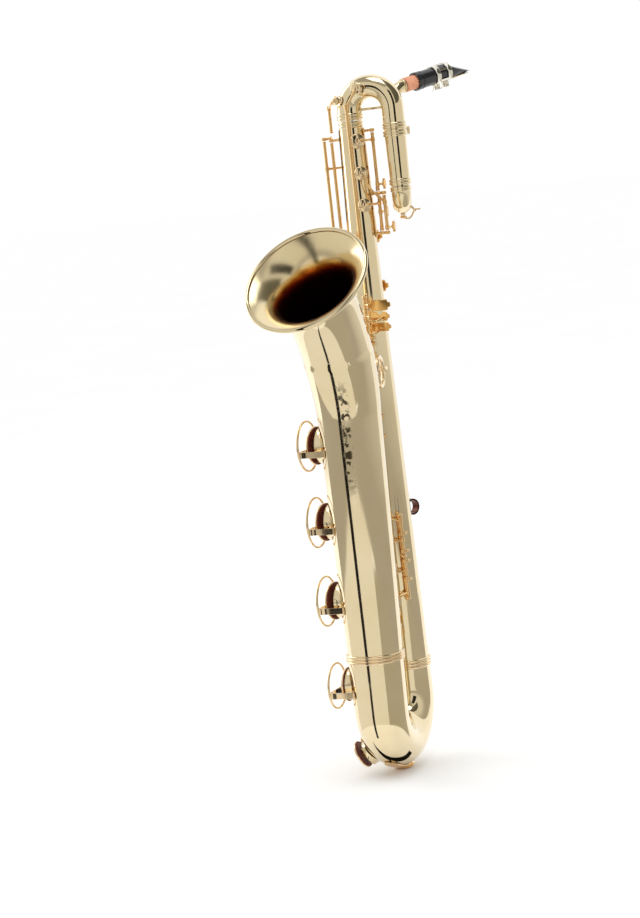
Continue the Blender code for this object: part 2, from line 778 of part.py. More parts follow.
class Key:
    """Collects a key's pieces round one upright hinge and turns them to their rest pose."""

    def __init__(self, hinge, z_low, z_high):
        self.hinge = Vector((hinge[0], hinge[1], 0.0))
        self.z_low = z_low
        self.z_high = z_high
        low = self.hinge + Vector((0, 0, z_low))
        self.parts = [rod(low, self.hinge + Vector((0, 0, z_high)), HINGE_R, sides=6)]

    def on_hinge(self, z):
        return self.hinge + Vector((0, 0, z))

    def arm(self, *points, radius=ARM_R):
        for start, end in zip(points, points[1:]):
            self.parts.append(rod(start, end, radius, sides=5))
        for bend in points[1:-1]:
            drop = Vector((0, 0, radius * 1.1))
            self.parts.append(rod(Vector(bend) - drop, Vector(bend) + drop, radius * 1.15, sides=5))

    def cup(self, hole, at_z=None, shift=0.0):
        """A cup over a hole, its arm bending over the cup's edge on its way from the hinge."""
        foot, face, height, radius = hole
        base = foot + face * (height + LIFT)
        top = base + face * CUP_T
        self.parts.append(rod(base, top, radius, radius - 1.0, sides=ROUND))
        self.parts.append(rod(top - face * 1.0, top + face * 2.2, radius * 0.28 + 1.5, sides=6))
        start = self.on_hinge(top.z + shift if at_z is None else at_z)
        side = start - top
        side -= face * side.dot(face)
        side.z = 0
        edge = top + face * 0.8 + side.normalized() * (radius - 0.5) + Vector((0, 0, shift))
        if at_z is not None:
            edge.z = top.z + (start.z - top.z) * 0.5
        self.arm(start, edge, top + face * 0.8)

    def pearl(self, centre, face, radius=7.5):
        centre, face = Vector(centre), Vector(face)
        self.parts.append(rod(centre - face * 2.0, centre + face * 2.5, radius * 0.8, radius, sides=8))

    def plate(self, centre, size, face, along=(0, 0, 1)):
        self.parts.append(block(centre, size, along=along, face=face))

    def build(self, name, turn=0.0):
        obj = fuse(*self.parts)
        spin = Matrix.Translation(self.hinge) @ Matrix.Rotation(math.radians(turn), 4, "Z")
        obj.data.transform(spin @ Matrix.Translation(-self.hinge))
        pivot = self.hinge + Vector((0, 0, (self.z_low + self.z_high) / 2))
        finish(obj, name, GOLD, pivot)


def stack_hinge(facing, z, swing=50.0, height=HINGE_HEIGHT):
    return direction(facing + swing) * (body_radius(z) + height)


LOWER_HINGE = stack_hinge(-15, 156)
UPPER_HINGE = stack_hinge(-40, 410)
TABLE_HINGE = Vector((12.0, -52.0, 0.0))
TABLE_Y = -64.0
LOW_HINGE = direction(-42) * 44.0
LOWER_SPANS = {"d_key": (101, 127), "e_key": (128, 153), "f_key": (160, 184), "fsharp_key": (185, 211)}
UPPER_SPANS = {"g_key": (322, 349), "a_key": (350, 384), "bis_key": (446, 459), "b_key": (460, 484.5)}
OPEN_TURN = 9.0


def make_stack_keys():
    for spans, hinge in ((LOWER_SPANS, LOWER_HINGE), (UPPER_SPANS, UPPER_HINGE)):
        for name, (low, high) in spans.items():
            key = Key(hinge, low + GAP, high - GAP)
            hole = body_hole(name)
            foot, face, height, radius = hole
            level = min(max(foot.z, low + 4), high - 4)
            key.cup(hole, at_z=level)
            if name != "fsharp_key":
                size = 5.0 if name == "bis_key" else 7.0
                top = foot + face * (height + CUP_T + 3.0)
                key.pearl(top + face * 0.6, face, size)
            key.build(name, turn=OPEN_TURN)


def make_gsharp():
    key = Key(UPPER_HINGE, 280 + GAP, 316 - GAP)
    key.cup(body_hole("gsharp_key"))
    key.build("gsharp_key")
    touch = Key(TABLE_HINGE, 505.8, 519.1)
    touch.arm(touch.on_hinge(512), Vector((22.0, TABLE_Y + 1.0, 512)))
    touch.plate(Vector((37.0, TABLE_Y, 510.5)), (32.0, 15.0, 3.2), (0, -1, 0))
    touch.build("gsharp_touch")


def make_csharp():
    key = Key(LOW_HINGE, 4, 26)
    key.cup(csharp_hole(), at_z=8)
    key.build("low_csharp_key")
    touch = Key(TABLE_HINGE, 490.3, 500.2)
    touch.arm(touch.on_hinge(496), Vector((22.0, TABLE_Y + 1.0, 496)))
    touch.plate(Vector((29.0, TABLE_Y, 495.5)), (16.0, 12.0, 3.2), (0, -1, 0))
    touch.build("low_csharp_touch")


def bell_side_hinge(swing, radius):
    """A hinge line behind the cups on the bell, swing degrees round from them."""
    return Vector((0, -BELL_GAP, 0)) + direction(-90 - swing) * (radius + HINGE_HEIGHT)


BELL_KEY_SWING = {"low_b_key": 62, "low_bb_key": 52, "low_a_key": 42}
BELL_KEY_TOP = {"low_b_key": 497, "low_bb_key": 480, "low_a_key": 365}
BELL_KEY_OPEN = -7.0


def make_bell_keys():
    for name, swing in BELL_KEY_SWING.items():
        hole = bell_hole(name)
        z = hole[0].z
        key = Key(bell_side_hinge(swing, BELL_FOOT_R + 4.5), z - 14, BELL_KEY_TOP[name])
        key.cup(hole, shift=6.0)
        if name == "low_b_key":
            level = 491.0
            key.arm(key.on_hinge(level), Vector((0, -80, level)), Vector((40, -78, level)),
                    Vector((44.0, TABLE_Y, level + 3)))
            key.plate(Vector((45.5, TABLE_Y, 495.5)), (14.0, 12.0, 3.2), (0, -1, 0))
        if name == "low_bb_key":
            level = 474.0
            key.arm(key.on_hinge(level), Vector((-22, -85.5, level)), Vector((34, -79, level)),
                    Vector((36.0, TABLE_Y, level + 4)))
            key.plate(Vector((37.0, TABLE_Y, 481.5)), (32.0, 12.0, 3.2), (0, -1, 0))
        key.build(name, turn=BELL_KEY_OPEN)


def make_low_c():
    foot, face, height, radius = low_c_hole()
    key = Key(LOW_HINGE, -25, -3)
    base = foot + face * (height + LIFT)
    top = base + face * CUP_T
    key.parts.append(rod(base, top, radius, radius - 1.0, sides=ROUND))
    edge = top + face + Vector((-5.1, 14.5, 5.9))
    key.arm(key.on_hinge(-14), Vector((-45.0, -62.0, -42.0)), edge, top + face * 0.8, radius=2.3)
    key.build("low_c_key", turn=-5.5)


def make_low_eb():
    hole = body_hole("low_eb_key")
    key = Key(LOW_HINGE, 32, 66)
    key.cup(hole)
    key.arm(key.on_hinge(62), Vector((-16, -56, 62)), Vector((4, -58, 62)))
    key.plate(Vector((8, -58, 62)), (18.0, 12.0, 3.2), (0, -1, 0))
    key.build("low_eb_key")


SIDE_INNER = Vector((-32.0, 3.0, 0.0))
SIDE_MIDDLE = Vector((-35.5, 14.7, 0.0))
SIDE_OUTER = Vector((-43.0, 3.0, 0.0))


def make_side_keys():
    """Three long rods down the player's right side with touches for the right hand."""
    specs = (
        ("high_e_key", SIDE_OUTER, 236, 738, Vector((-51.0, -3.0, 262))),
        ("side_c_key", SIDE_MIDDLE, 236, 590, Vector((-51.0, 11.0, 300))),
        ("side_bb_key", SIDE_INNER, 245.5, 553.5, Vector((-44.0, -12.0, 338))),
    )
    for name, hinge, low, high, tip in specs:
        key = Key(hinge, low, high)
        key.cup(body_hole(name))
        key.arm(key.on_hinge(tip.z), tip)
        key.plate(tip + Vector((-0.8, -1.0, 0)), (9.0, 30.0, 3.4), (-0.9, -0.43, 0))
        key.build(name)


THUMB_HINGE = Vector((-15.0, 31.0, 0.0))
VENT_HINGE = Vector((-30.0, 1.0, 0.0))
PALM_NEAR = Vector((28.0, 5.0, 0.0))
PALM_FAR = Vector((36.5, 3.0, 0.0))
PALM_KEYS = (
    ("palm_d_key", PALM_NEAR, 608, 657, 634),
    ("palm_eb_key", PALM_FAR, 608, 657, 612),
    ("palm_f_key", PALM_NEAR, 663, 744, 672),
)


def make_palm_keys():
    for name, hinge, low, high, touch_z in PALM_KEYS:
        key = Key(hinge, low + GAP, high - GAP)
        hole = body_hole(name)
        top_z = hole[0].z
        key.cup(hole, at_z=None if low < top_z < high else high - 10)
        end = Vector((hinge.x + 4.0, hinge.y + 12.0, touch_z))
        key.arm(key.on_hinge(touch_z), end)
        key.plate(end + Vector((0.5, 3.0, 0)), (11.0, 15.0, 3.2), (1.0, 0.1, 0))
        key.build(name)


def make_front_f():
    hole = front_f_hole()
    key = Key((7.0, -30.0), 600, 785)
    key.cup(hole, at_z=781)
    key.arm(key.on_hinge(606), Vector((-5.0, -36.0, 606)))
    key.pearl(Vector((-7.0, -37.0, 606)), (0, -1, 0), 6.0)
    key.build("front_f_key")


def make_octave_keys():
    key = Key(SIDE_INNER, 562, 735)
    key.arm(key.on_hinge(604), Vector((-24.0, 31.0, 604)), Vector((0.0, 37.0, 604)))
    key.plate(Vector((5.0, 38.0, 600)), (20.0, 18.0, 3.0), (0, 1, 0))
    key.build("octave_lever")
    touch = Key(THUMB_HINGE, 510.5, 549.5)
    touch.arm(touch.on_hinge(530), Vector((2.0, 38.0, 530)))
    touch.plate(Vector((6.0, 39.0, 530)), (20.0, 16.0, 3.0), (0, 1, 0))
    touch.build("low_a_touch")
    vent = Key(VENT_HINGE, 748 + GAP, 786 - GAP)
    vent.cup(vent_hole(), at_z=782)
    vent.build("octave_vent_key")


def water_key_hinge():
    across = (Vector((RECEIVER.x, RECEIVER.y, 0)) - Vector((LOOP_X, 0, 0))).normalized()
    side = across.cross(Vector((0, 0, 1)))
    low = Vector(((LOOP_X + RECEIVER.x) / 2, RECEIVER.y / 2, LEG_FOOT - GAP - 26.0))
    return low + side * 16.5 - Vector((0, 0, 9)), across, side, low


def bar(start, end, deep, wide, face):
    """A flat bar between two points, a little longer than the gap; wide lies along face."""
    line = end - start
    return block((start + end) / 2, (deep, line.length + 1.4, wide), along=line, face=face)


def make_water_key():
    hinge, across, side, low = water_key_hinge()
    nipple = low - Vector((0, 0, 15.4))
    key = rod(hinge - across * 3.4, hinge + across * 3.4, 2.4)
    elbow = low + side * 9.0 - Vector((0, 0, 19.4))
    end = nipple - Vector((0, 0, 2.9))
    fuse(key, bar(hinge, elbow, 2.6, 3.6, across))
    fuse(key, bar(elbow, end, 2.2, 3.0, across))
    fuse(key, rod(nipple, nipple - Vector((0, 0, 3.4)), 5.0, 4.4, sides=10))
    lever = hinge + side * 7 + Vector((0, 0, 1.0))
    fuse(key, bar(hinge, lever, 2.4, 4.4, across))
    finish(key, "water_key", GOLD, hinge)


# ---------------------------------------------------------------- posts and guards

def post(parts, foot, top, head_axis=(0, 0, 1)):
    """A turned post with a round head on the hinge line."""
    foot, top, axis = Vector(foot), Vector(top), Vector(head_axis)
    parts.append(rod(foot, top, POST_R, sides=5))
    parts.append(rod(top - axis * POST_HEAD / 2, top + axis * POST_HEAD / 2, POST_HEAD_R, sides=7))


def rib(facing, z_low, z_high, width=6.0, thick=1.6):
    """A flat strip soldered along the body tube."""
    face = direction(facing)
    low = face * (body_radius(z_low) + GAP + thick / 2) + Vector((0, 0, z_low))
    high = face * (body_radius(z_high) + GAP + thick / 2) + Vector((0, 0, z_high))
    return block((low + high) / 2, (width, (high - low).length, thick), along=high - low, face=face)


def rib_posts(name, facing, hinge, levels, z_low, z_high, extra=(), bridges=()):
    parts = [rib(facing, z_low, z_high)]
    for z in levels:
        post(parts, *post_line(facing, z, hinge))
    for foot, top in extra:
        post(parts, foot, top)
    for start, end, z in bridges:
        post(parts, Vector((start.x, start.y, z)), Vector((end.x, end.y, z)))
    finish(trim_to_body(fuse(*parts)), name, GOLD)


def make_posts():
    rib_posts("lower_stack_posts", 35, LOWER_HINGE, (98, 156.5, 214), 92, 220)
    table = [post_line(10, z, TABLE_HINGE) for z in (487.5, 503.0, 521.9)]
    rib_posts("upper_stack_posts", 10, UPPER_HINGE, (277, 318.8, 387.2, 442.8, 487.5), 272, 526, table)
    side = [post_line(-84, 242.2, SIDE_INNER), post_line(-84, 232.8, SIDE_OUTER)]
    side.append(post_line(-84, 738.3, SIDE_INNER))
    middle = [post_line(-84, 232.8, SIDE_MIDDLE), post_line(-84, 593.3, SIDE_MIDDLE)]
    rib_posts("side_key_posts", -84, SIDE_INNER, (557.6,), 226, 752, side + middle,
              bridges=((SIDE_INNER, SIDE_OUTER, 741.3),))
    far = [post_line(96, z, PALM_FAR) for z in (605, 660)]
    rib_posts("palm_key_posts", 96, PALM_NEAR, (605, 660, 747), 600, 752, far)
    rib_posts("octave_posts", -172, THUMB_HINGE, (507.6, 552.4), 504, 558)
    make_bell_posts()
    make_bow_posts()


def post_line(facing, z, hinge):
    """The foot and top of a post from the body tube to a hinge line."""
    return direction(facing) * (body_radius(z) + GAP + 0.8) + Vector((0, 0, z)), Vector((hinge.x, hinge.y, z))


def bell_strip(swing, z_low, z_high, radius, width=6.0):
    face = direction(-90 - swing)
    centre = Vector((0, -BELL_GAP, (z_low + z_high) / 2)) + face * (radius + GAP + 0.8)
    return block(centre, (width, z_high - z_low, 1.6), face=face)


def make_bell_posts():
    swing = 50
    radius = BELL_FOOT_R + 8.0
    parts = [bell_strip(swing, 92, 505, radius)]
    foot = Vector((0, -BELL_GAP, 0)) + direction(-90 - swing) * (radius + 1.0)
    for name, turn in BELL_KEY_SWING.items():
        hinge = bell_side_hinge(turn, BELL_FOOT_R + 4.5)
        for z in (BELL_HOLES[name][0] - 17.3, BELL_KEY_TOP[name] + 3.3):
            post(parts, Vector((foot.x, foot.y, z)), Vector((hinge.x, hinge.y, z)))
    finish(fuse(*parts), "bell_key_posts", GOLD)


def make_bow_posts():
    """A strip standing on the body ferrule, with the posts of the right hand's little finger keys."""
    face = direction(-42)
    radius = BODY_FOOT_R + 3.6
    parts = [block(face * (radius + 0.8) + Vector((0, 0, 20.0)), (6.0, 104.0, 1.6), face=face)]
    for z in (-28.0, 0.5, 29.0, 69.0):
        post(parts, face * (radius + 0.8) + Vector((0, 0, z)), Vector((LOW_HINGE.x, LOW_HINGE.y, z)))
    finish(fuse(*parts), "low_key_posts", GOLD)


def make_guard(name, centre, face, radius, tube_radius, tube_cutter):
    """A hoop over a cup, with a cross bar and two legs down to the tube."""
    face = Vector(face)
    across = face.cross(Vector((0, 0, 1))).normalized()
    drop = Vector((0, 0, -8.0))
    hub = centre + face * (tube_radius + 23.5)
    half = math.sqrt(radius ** 2 - drop.z ** 2)
    ring = hoop(hub, face, radius, 1.7)
    fuse(ring, block(hub + drop, (2 * half, 9.0, 2.2), along=(0, 0, 1), face=face))
    for sign in (-1, 1):
        start = hub + drop + across * sign * half
        end = centre + drop + (face * 0.70 + across * sign * 0.72) * (tube_radius - 3)
        leg = block((start + end) / 2, (2.4, 9.0, (end - start).length + 2.0), along=(0, 0, 1), face=end - start)
        fuse(ring, leg)
    cut(ring, tube_cutter)
    finish(ring, name, GOLD)


def make_guards():
    for name, guard in (("low_a_key", "low_a_guard"), ("low_bb_key", "low_bb_guard"), ("low_b_key", "low_b_guard")):
        z, cup_radius = BELL_HOLES[name]
        points, runs = bell_path()
        cutter = sweep(points, [bell_radius(run) + GAP + 0.1 for run in runs], sides=BIG_SIDES)
        make_guard(guard, Vector((0, -BELL_GAP, z)), direction(BELL_FACE), 34.0, bell_radius(z - BELL_FOOT), cutter)
    points, radii = bow_path()
    cutter = sweep(points, [radius + GAP + 0.1 for radius in radii], sides=BIG_SIDES)
    make_guard("low_csharp_guard", Vector((0, -BELL_GAP, CSHARP_Z - 2)), direction(BELL_FACE), 31.0, BELL_FOOT_R, cutter)


# ---------------------------------------------------------------- assembly

clear_scene()
PARTS = new_collection(COLLECTION)
make_body_tube()
make_bell()
make_bottom_bow()
make_ferrules()
make_upper_bow()
make_loop()
make_small_bow()
make_receiver()
make_bow_guard()
make_brace()
make_strap_ring()
make_thumb_hook()
make_neck()
make_cork()
make_mouthpiece()
make_reed()
make_ligature()
make_screws()
make_stack_keys()
make_gsharp()
make_csharp()
make_bell_keys()
make_low_c()
make_low_eb()
make_side_keys()
make_palm_keys()
make_front_f()
make_octave_keys()
make_water_key()
make_posts()
make_guards()
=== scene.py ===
"""Looks of the low-A baritone saxophone: fine brass tubes, keywork, pads and mouthpiece on the CAD frame.

Sizes are in millimetres in the tube frame (main tube up +Z from its foot, bell towards -Y, crook
loop at +X), and are turned into metres round the strap ring when a piece is built. The materials and
the studio at the end are in metres.
"""
import math

import bmesh
import bpy
from mathutils import Matrix, Vector


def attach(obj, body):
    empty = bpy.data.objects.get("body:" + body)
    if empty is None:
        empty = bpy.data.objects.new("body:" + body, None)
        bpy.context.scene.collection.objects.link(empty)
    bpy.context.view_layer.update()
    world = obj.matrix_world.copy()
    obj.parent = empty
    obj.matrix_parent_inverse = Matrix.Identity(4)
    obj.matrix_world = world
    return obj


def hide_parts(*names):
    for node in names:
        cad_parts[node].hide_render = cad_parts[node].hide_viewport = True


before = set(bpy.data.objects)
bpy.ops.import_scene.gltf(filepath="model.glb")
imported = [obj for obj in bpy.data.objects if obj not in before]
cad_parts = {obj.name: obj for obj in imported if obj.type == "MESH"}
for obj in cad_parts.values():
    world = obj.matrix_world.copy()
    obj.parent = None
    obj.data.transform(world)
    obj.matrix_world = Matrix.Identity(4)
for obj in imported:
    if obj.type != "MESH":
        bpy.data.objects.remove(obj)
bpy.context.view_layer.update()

MM = 0.001
RING = Vector((0.0, 35.0, 430.0))
Z = Vector((0.0, 0.0, 1.0))

BODY_TOP = 762.0
BODY_FOOT_R = 30.4
BODY_TOP_R = 15.8
BELL_GAP = 126.0
BELL_FOOT = 38.0
BELL_STRAIGHT = 330.0
BELL_ARC = 217.0
BELL_TILT = math.radians(45)
BELL_LEAN = -7.0
BELL_FOOT_R = 38.0
BELL_BEND_R = BELL_ARC / BELL_TILT
RIM_R = 89.0
FLARE_START = 420.0
FLARE_POWER = 7.0
BOW_DROP = 35.0
BOW_R = BELL_GAP / 2
GUARD_FOOT = -BOW_DROP - BOW_R - 38.5
WALL = 1.2
LOOP_X = 63.0
LOOP_TOP = 775.0
CROOK_BAR_Z = 776
LEG_TOP = 745.0
LEG_FOOT = 667.0
RECEIVER = Vector((48.0, 38.0, 0.0))
RECEIVER_TOP = 750.0
LUG_FACING = 112
LUG_Z = RECEIVER_TOP - 8.5
NECK_YAW = math.radians(57)
NECK_PITCH = math.radians(9.6)
NECK_BEND_R = 30.0
NECK_RISE = 803.0
MOUTHPIECE_START = 20.0
MOUTHPIECE_R = 12.3
LIGATURE_AT = 46.0
LIGATURE_STEP = 8.0
CHIMNEY_H = 3.5
LIFT = 0.4
CUP_T = 5.2
HINGE_H = 12.0
BELL_FACE = -92.0
LOW_FACING = -42


def direction(degrees):
    angle = math.radians(degrees)
    return Vector((math.sin(angle), -math.cos(angle), 0.0))


def body_radius(z):
    return BODY_FOOT_R + (BODY_TOP_R - BODY_FOOT_R) * z / BODY_TOP


def at(x, y, z):
    return Vector((x, y, z))


def bell_axis(z):
    return at(0, -BELL_GAP, z)


def turns(count):
    """Angles evenly spaced round a circle."""
    return [2 * math.pi * j / count for j in range(count)]


def hoop(centre, side, up, radius, count, flat=1.0):
    """Points round a circle, flattened along up."""
    return [centre + (side * math.cos(t) + up * (math.sin(t) * flat)) * radius for t in turns(count)]


# ================================================================ materials

class Look:
    """A Principled material and short ways to add nodes that work in the object's own coordinates."""

    def __init__(self, name):
        self.material = bpy.data.materials.new(name)
        self.material.use_nodes = True
        self.tree = self.material.node_tree
        self.shader = self.tree.nodes["Principled BSDF"]
        self.place = self.new("TexCoord").outputs["Object"]

    def new(self, kind):
        return self.tree.nodes.new("ShaderNode" + kind)

    def wired(self, node, inputs, output=0):
        """Feeds a node's inputs from plain values or from other nodes, and gives one of its outputs."""
        for key, value in inputs.items():
            if isinstance(value, bpy.types.NodeSocket):
                self.tree.links.new(value, node.inputs[key])
            else:
                node.inputs[key].default_value = value
        return node.outputs[output]

    def shade(self, inputs):
        self.wired(self.shader, inputs)

    def source(self, name):
        return self.shader.inputs[name].links[0].from_socket

    def noise(self, scale, detail, rough, stretch=None):
        vector = self.place
        if stretch:
            vector = self.wired(self.new("Mapping"), {"Vector": vector, "Scale": stretch})
        return self.wired(self.new("TexNoise"), {"Vector": vector, "Scale": scale, "Detail": detail,
                                                 "Roughness": rough}, "Fac")

    def ramp(self, value, stops):
        node = self.new("ValToRGB")
        while len(node.color_ramp.elements) < len(stops):
            node.color_ramp.elements.new(0.5)
        for element, (position, colour) in zip(node.color_ramp.elements, stops):
            element.position = position
            element.color = (*colour, 1.0)
        return self.wired(node, {"Fac": value}, "Color")

    def scaled(self, value, low, high):
        """Stretches the part of a value from low to high over 0 to 1."""
        return self.wired(self.new("MapRange"), {"Value": value, "From Min": low, "From Max": high})

    def spread(self, value, low, high):
        """Squeezes a value of 0 to 1 in between low and high."""
        return self.wired(self.new("MapRange"), {"Value": value, "To Min": low, "To Max": high})

    def window(self, value, low, high, soft):
        """1 between low and high, fading over soft on both sides."""
        sides = []
        for start, end in ((low - soft, low + soft), (high + soft, high - soft)):
            node = self.new("MapRange")
            node.interpolation_type = "SMOOTHSTEP"
            sides.append(self.wired(node, {"Value": value, "From Min": start, "From Max": end}))
        return self.maths("MULTIPLY", *sides)

    def maths(self, operation, first, second, third=0.0):
        node = self.new("Math")
        node.operation = operation
        return self.wired(node, {0: first, 1: second, 2: third})

    def vector(self, operation, first, second, output="Vector"):
        node = self.new("VectorMath")
        node.operation = operation
        return self.wired(node, {0: first, 1: second}, output)

    def mixed(self, kind, factor, first, second):
        node = self.new("Mix")
        node.data_type = "RGBA"
        node.blend_type = kind
        return self.wired(node, {"Factor": factor, "A": first, "B": second}, "Result")

    def bump(self, height, strength, distance):
        relief = {"Height": height, "Strength": strength, "Distance": distance}
        self.shade({"Normal": self.wired(self.new("Bump"), relief, "Normal")})


def brass(name, deep, pale, rough=(0.08, 0.2), wear=0.5, grain=0.02):
    """Lacquered brass: tone drifting from deep to pale, smears in the gloss and fine polishing lines."""
    look = Look(name)
    drift = look.noise(14.0, 4.0, 0.6)
    smear = look.noise(60.0, 6.0, 0.7, stretch=(1.0, 1.0, 0.25))
    lines = look.noise(900.0, 2.0, 0.5, stretch=(1.0, 1.0, 0.06))
    look.shade({"Base Color": look.ramp(drift, ((0.3, deep), (0.7, pale))),
                "Roughness": look.spread(smear, *rough), "Metallic": 1.0, "Coat Weight": wear,
                "Coat Roughness": 0.06})
    look.bump(lines, grain, 0.0004)
    return look


def stuff(name, stops, scale, rough, lump=0.2, coat=0.0, spec=0.5):
    """A non-metal: colour and relief from one noise at the grain's own size."""
    look = Look(name)
    grain = look.noise(scale, 5.0, 0.6)
    fine = look.noise(scale * 4.0, 3.0, 0.6)
    look.shade({"Base Color": look.ramp(grain, stops), "Roughness": look.spread(fine, *rough),
                "Coat Weight": coat, "Specular IOR Level": spec})
    look.bump(grain, lump, 0.0006)
    return look


def engraved(look):
    """Adds a generic hand-cut leaf scroll down the front of the bell."""
    split = look.new("SeparateXYZ")
    look.wired(split, {"Vector": look.place})
    x, y, z = split.outputs
    depth = look.maths("MULTIPLY_ADD", y, -1.0, -(BELL_GAP + RING.y) * MM)
    turn = look.maths("ARCTAN2", x, depth)
    wander = look.spread(look.noise(26.0, 2.0, 0.5), -0.16, 0.16)
    across = look.window(look.maths("ADD", turn, wander), math.radians(5), math.radians(21), math.radians(4))
    down = look.window(z, -0.150, -0.020, 0.020)
    petals = look.noise(150.0, 1.0, 0.4)
    cuts = look.noise(620.0, 3.0, 0.6)
    lines = look.window(look.maths("MULTIPLY_ADD", cuts, 0.5, petals), 0.80, 2.0, 0.03)
    mask = look.maths("MULTIPLY", look.maths("MULTIPLY", across, down), lines)
    look.shade({"Base Color": look.mixed("MIX", mask, look.source("Base Color"), (0.06, 0.042, 0.018, 1.0)),
                "Roughness": look.maths("MULTIPLY_ADD", mask, 0.4, look.source("Roughness"))})
    return look


def painted_shade_lining():
    """The bell's inside: lacquered by the mouth, then painted shade darkening it through orange where it
    narrows to deep red-brown down the throat.
    """
    look = brass("bell_inside_painted_shade", (0.82, 0.68, 0.42), (0.90, 0.76, 0.50), rough=(0.14, 0.26), grain=0.05)
    mouth, outwards = bell_centre(BELL_STRAIGHT + BELL_ARC)
    reach = look.vector("SUBTRACT", look.place, (mouth - RING) * MM)
    along = look.vector("DOT_PRODUCT", reach, outwards, "Value")
    ragged = look.maths("MULTIPLY_ADD", look.noise(70.0, 5.0, 0.7), 0.012, along)
    # Painted shade: the brass colour is multiplied darker with depth below the mouth and left unchanged at
    # the mouth.
    stops = ((0.0, (0.24, 0.055, 0.020)), (0.35, (0.34, 0.080, 0.024)), (0.6, (0.50, 0.20, 0.04)),
             (0.8, (0.9, 0.7, 0.4)), (1.0, (1, 1, 1)))
    throat_shade = look.ramp(look.scaled(ragged, -0.044, -0.020), stops)
    look.shade({"Base Color": look.mixed("MULTIPLY", 1.0, look.source("Base Color"), throat_shade),
                "Coat Weight": 0.0})
    return look


TUBE = brass("tube_brass", (0.84, 0.70, 0.44), (0.90, 0.77, 0.52), rough=(0.04, 0.10))
BELL = engraved(brass("bell_brass", (0.84, 0.70, 0.44), (0.90, 0.77, 0.52), rough=(0.04, 0.10)))
# Inner walls of the tubes and tone holes: brass darkened to brown as painted shade for the dark inside of the
# bore.
BORE_SHADE = brass("bore_brass_painted_shade", (0.30, 0.14, 0.04), (0.42, 0.22, 0.07), rough=(0.16, 0.32), grain=0.05)
GOLD = brass("key_brass", (0.80, 0.50, 0.20), (0.90, 0.62, 0.30), rough=(0.07, 0.16))
PALE = brass("fitting_brass", (0.86, 0.66, 0.40), (0.93, 0.76, 0.50), rough=(0.08, 0.16))
SILVER = brass("ligature_plate", (0.74, 0.71, 0.62), (0.88, 0.85, 0.76), rough=(0.06, 0.18))
STEEL = brass("blued_steel", (0.10, 0.11, 0.16), (0.30, 0.30, 0.34), rough=(0.15, 0.35), wear=0.0)
# Thumb hook: brass darkened to red-brown as painted shade for a hook turned away from the light.
HOOK_SHADE_BROWN = brass("hook_brass_painted_shade", (0.07, 0.022, 0.014), (0.16, 0.06, 0.035), rough=(0.2, 0.38), wear=0.0)
PAD = stuff("pad_leather", ((0.3, (0.10, 0.012, 0.006)), (0.7, (0.19, 0.03, 0.012))), 900.0, (0.35, 0.6),
            0.35)
FELT = stuff("black_felt", ((0.3, (0.008, 0.008, 0.009)), (0.7, (0.03, 0.03, 0.032))), 1600.0, (0.8, 1.0),
             0.8)
PEARL = stuff("key_pearl", ((0.2, (0.82, 0.78, 0.74)), (0.5, (0.93, 0.92, 0.90)), (0.8, (0.80, 0.86, 0.84))),
              160.0, (0.12, 0.2), 0.05, coat=1.0, spec=0.6)
EBONITE = stuff("hard_rubber", ((0.3, (0.008, 0.008, 0.010)), (0.7, (0.018, 0.018, 0.022))), 400.0,
                (0.10, 0.22), 0.05, coat=0.3, spec=0.6)
CORK = stuff("cork", ((0.2, (0.22, 0.07, 0.03)), (0.45, (0.68, 0.28, 0.15)), (0.8, (0.82, 0.42, 0.26))),
             420.0, (0.55, 0.8), 0.5)
CANE = stuff("reed_cane", ((0.3, (0.62, 0.47, 0.22)), (0.7, (0.80, 0.68, 0.42))), 300.0, (0.4, 0.6), 0.3)


# ================================================================ surfaces

class Piece:
    """Surfaces of one visual piece, in the tube frame in millimetres."""

    def __init__(self, *looks):
        self.looks = looks
        self.verts, self.faces, self.slots = [], [], []

    def add(self, surface, look=0):
        verts, faces = surface
        base = len(self.verts)
        self.verts.extend(Vector(v) for v in verts)
        self.faces.extend(tuple(base + i for i in face) for face in faces)
        self.slots.extend([look] * len(faces))

    def lathe(self, base, axis, profile, sides, look=0, loop=False):
        self.add(turned(base, axis, profile, sides, loop), look)

    def turn(self, hinge, degrees):
        spin = Matrix.Rotation(math.radians(degrees), 4, "Z")
        spin = Matrix.Translation(hinge) @ spin @ Matrix.Translation(-hinge)
        self.verts = [spin @ v for v in self.verts]
        return self

    def build(self, name, body="tubes", slot="lacquered_fittings", replaces=(), sharp=38):
        mesh = bpy.data.meshes.new(name)
        mesh.from_pydata([(v - RING) * MM for v in self.verts], [], self.faces)
        for look in self.looks:
            mesh.materials.append(look.material)
        mesh.polygons.foreach_set("material_index", self.slots)
        bm = bmesh.new()
        bm.from_mesh(mesh)
        bmesh.ops.remove_doubles(bm, verts=bm.verts, dist=0.000002)
        bmesh.ops.recalc_face_normals(bm, faces=bm.faces)
        bm.to_mesh(mesh)
        bm.free()
        mesh.shade_smooth()
        mesh.set_sharp_from_angle(angle=math.radians(sharp))
        obj = bpy.data.objects.new(name, mesh)
        bpy.context.scene.collection.objects.link(obj)
        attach(obj, body)
        if replaces:
            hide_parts(*replaces)
        return obj


def skin(rows, loop=False):
    """Joins closed rows of points: loop joins the last row to the first, otherwise both are filled."""
    count = len(rows[0])
    verts = [point for row in rows for point in row]
    faces = []
    spans = len(rows) if loop else len(rows) - 1
    for i in range(spans):
        a, b = i * count, ((i + 1) % len(rows)) * count
        for j in range(count):
            k = (j + 1) % count
            faces.append((a + j, a + k, b + k, b + j))
    if not loop:
        faces.append(tuple(range(count - 1, -1, -1)))
        last = (len(rows) - 1) * count
        faces.append(tuple(range(last, last + count)))
    return verts, faces


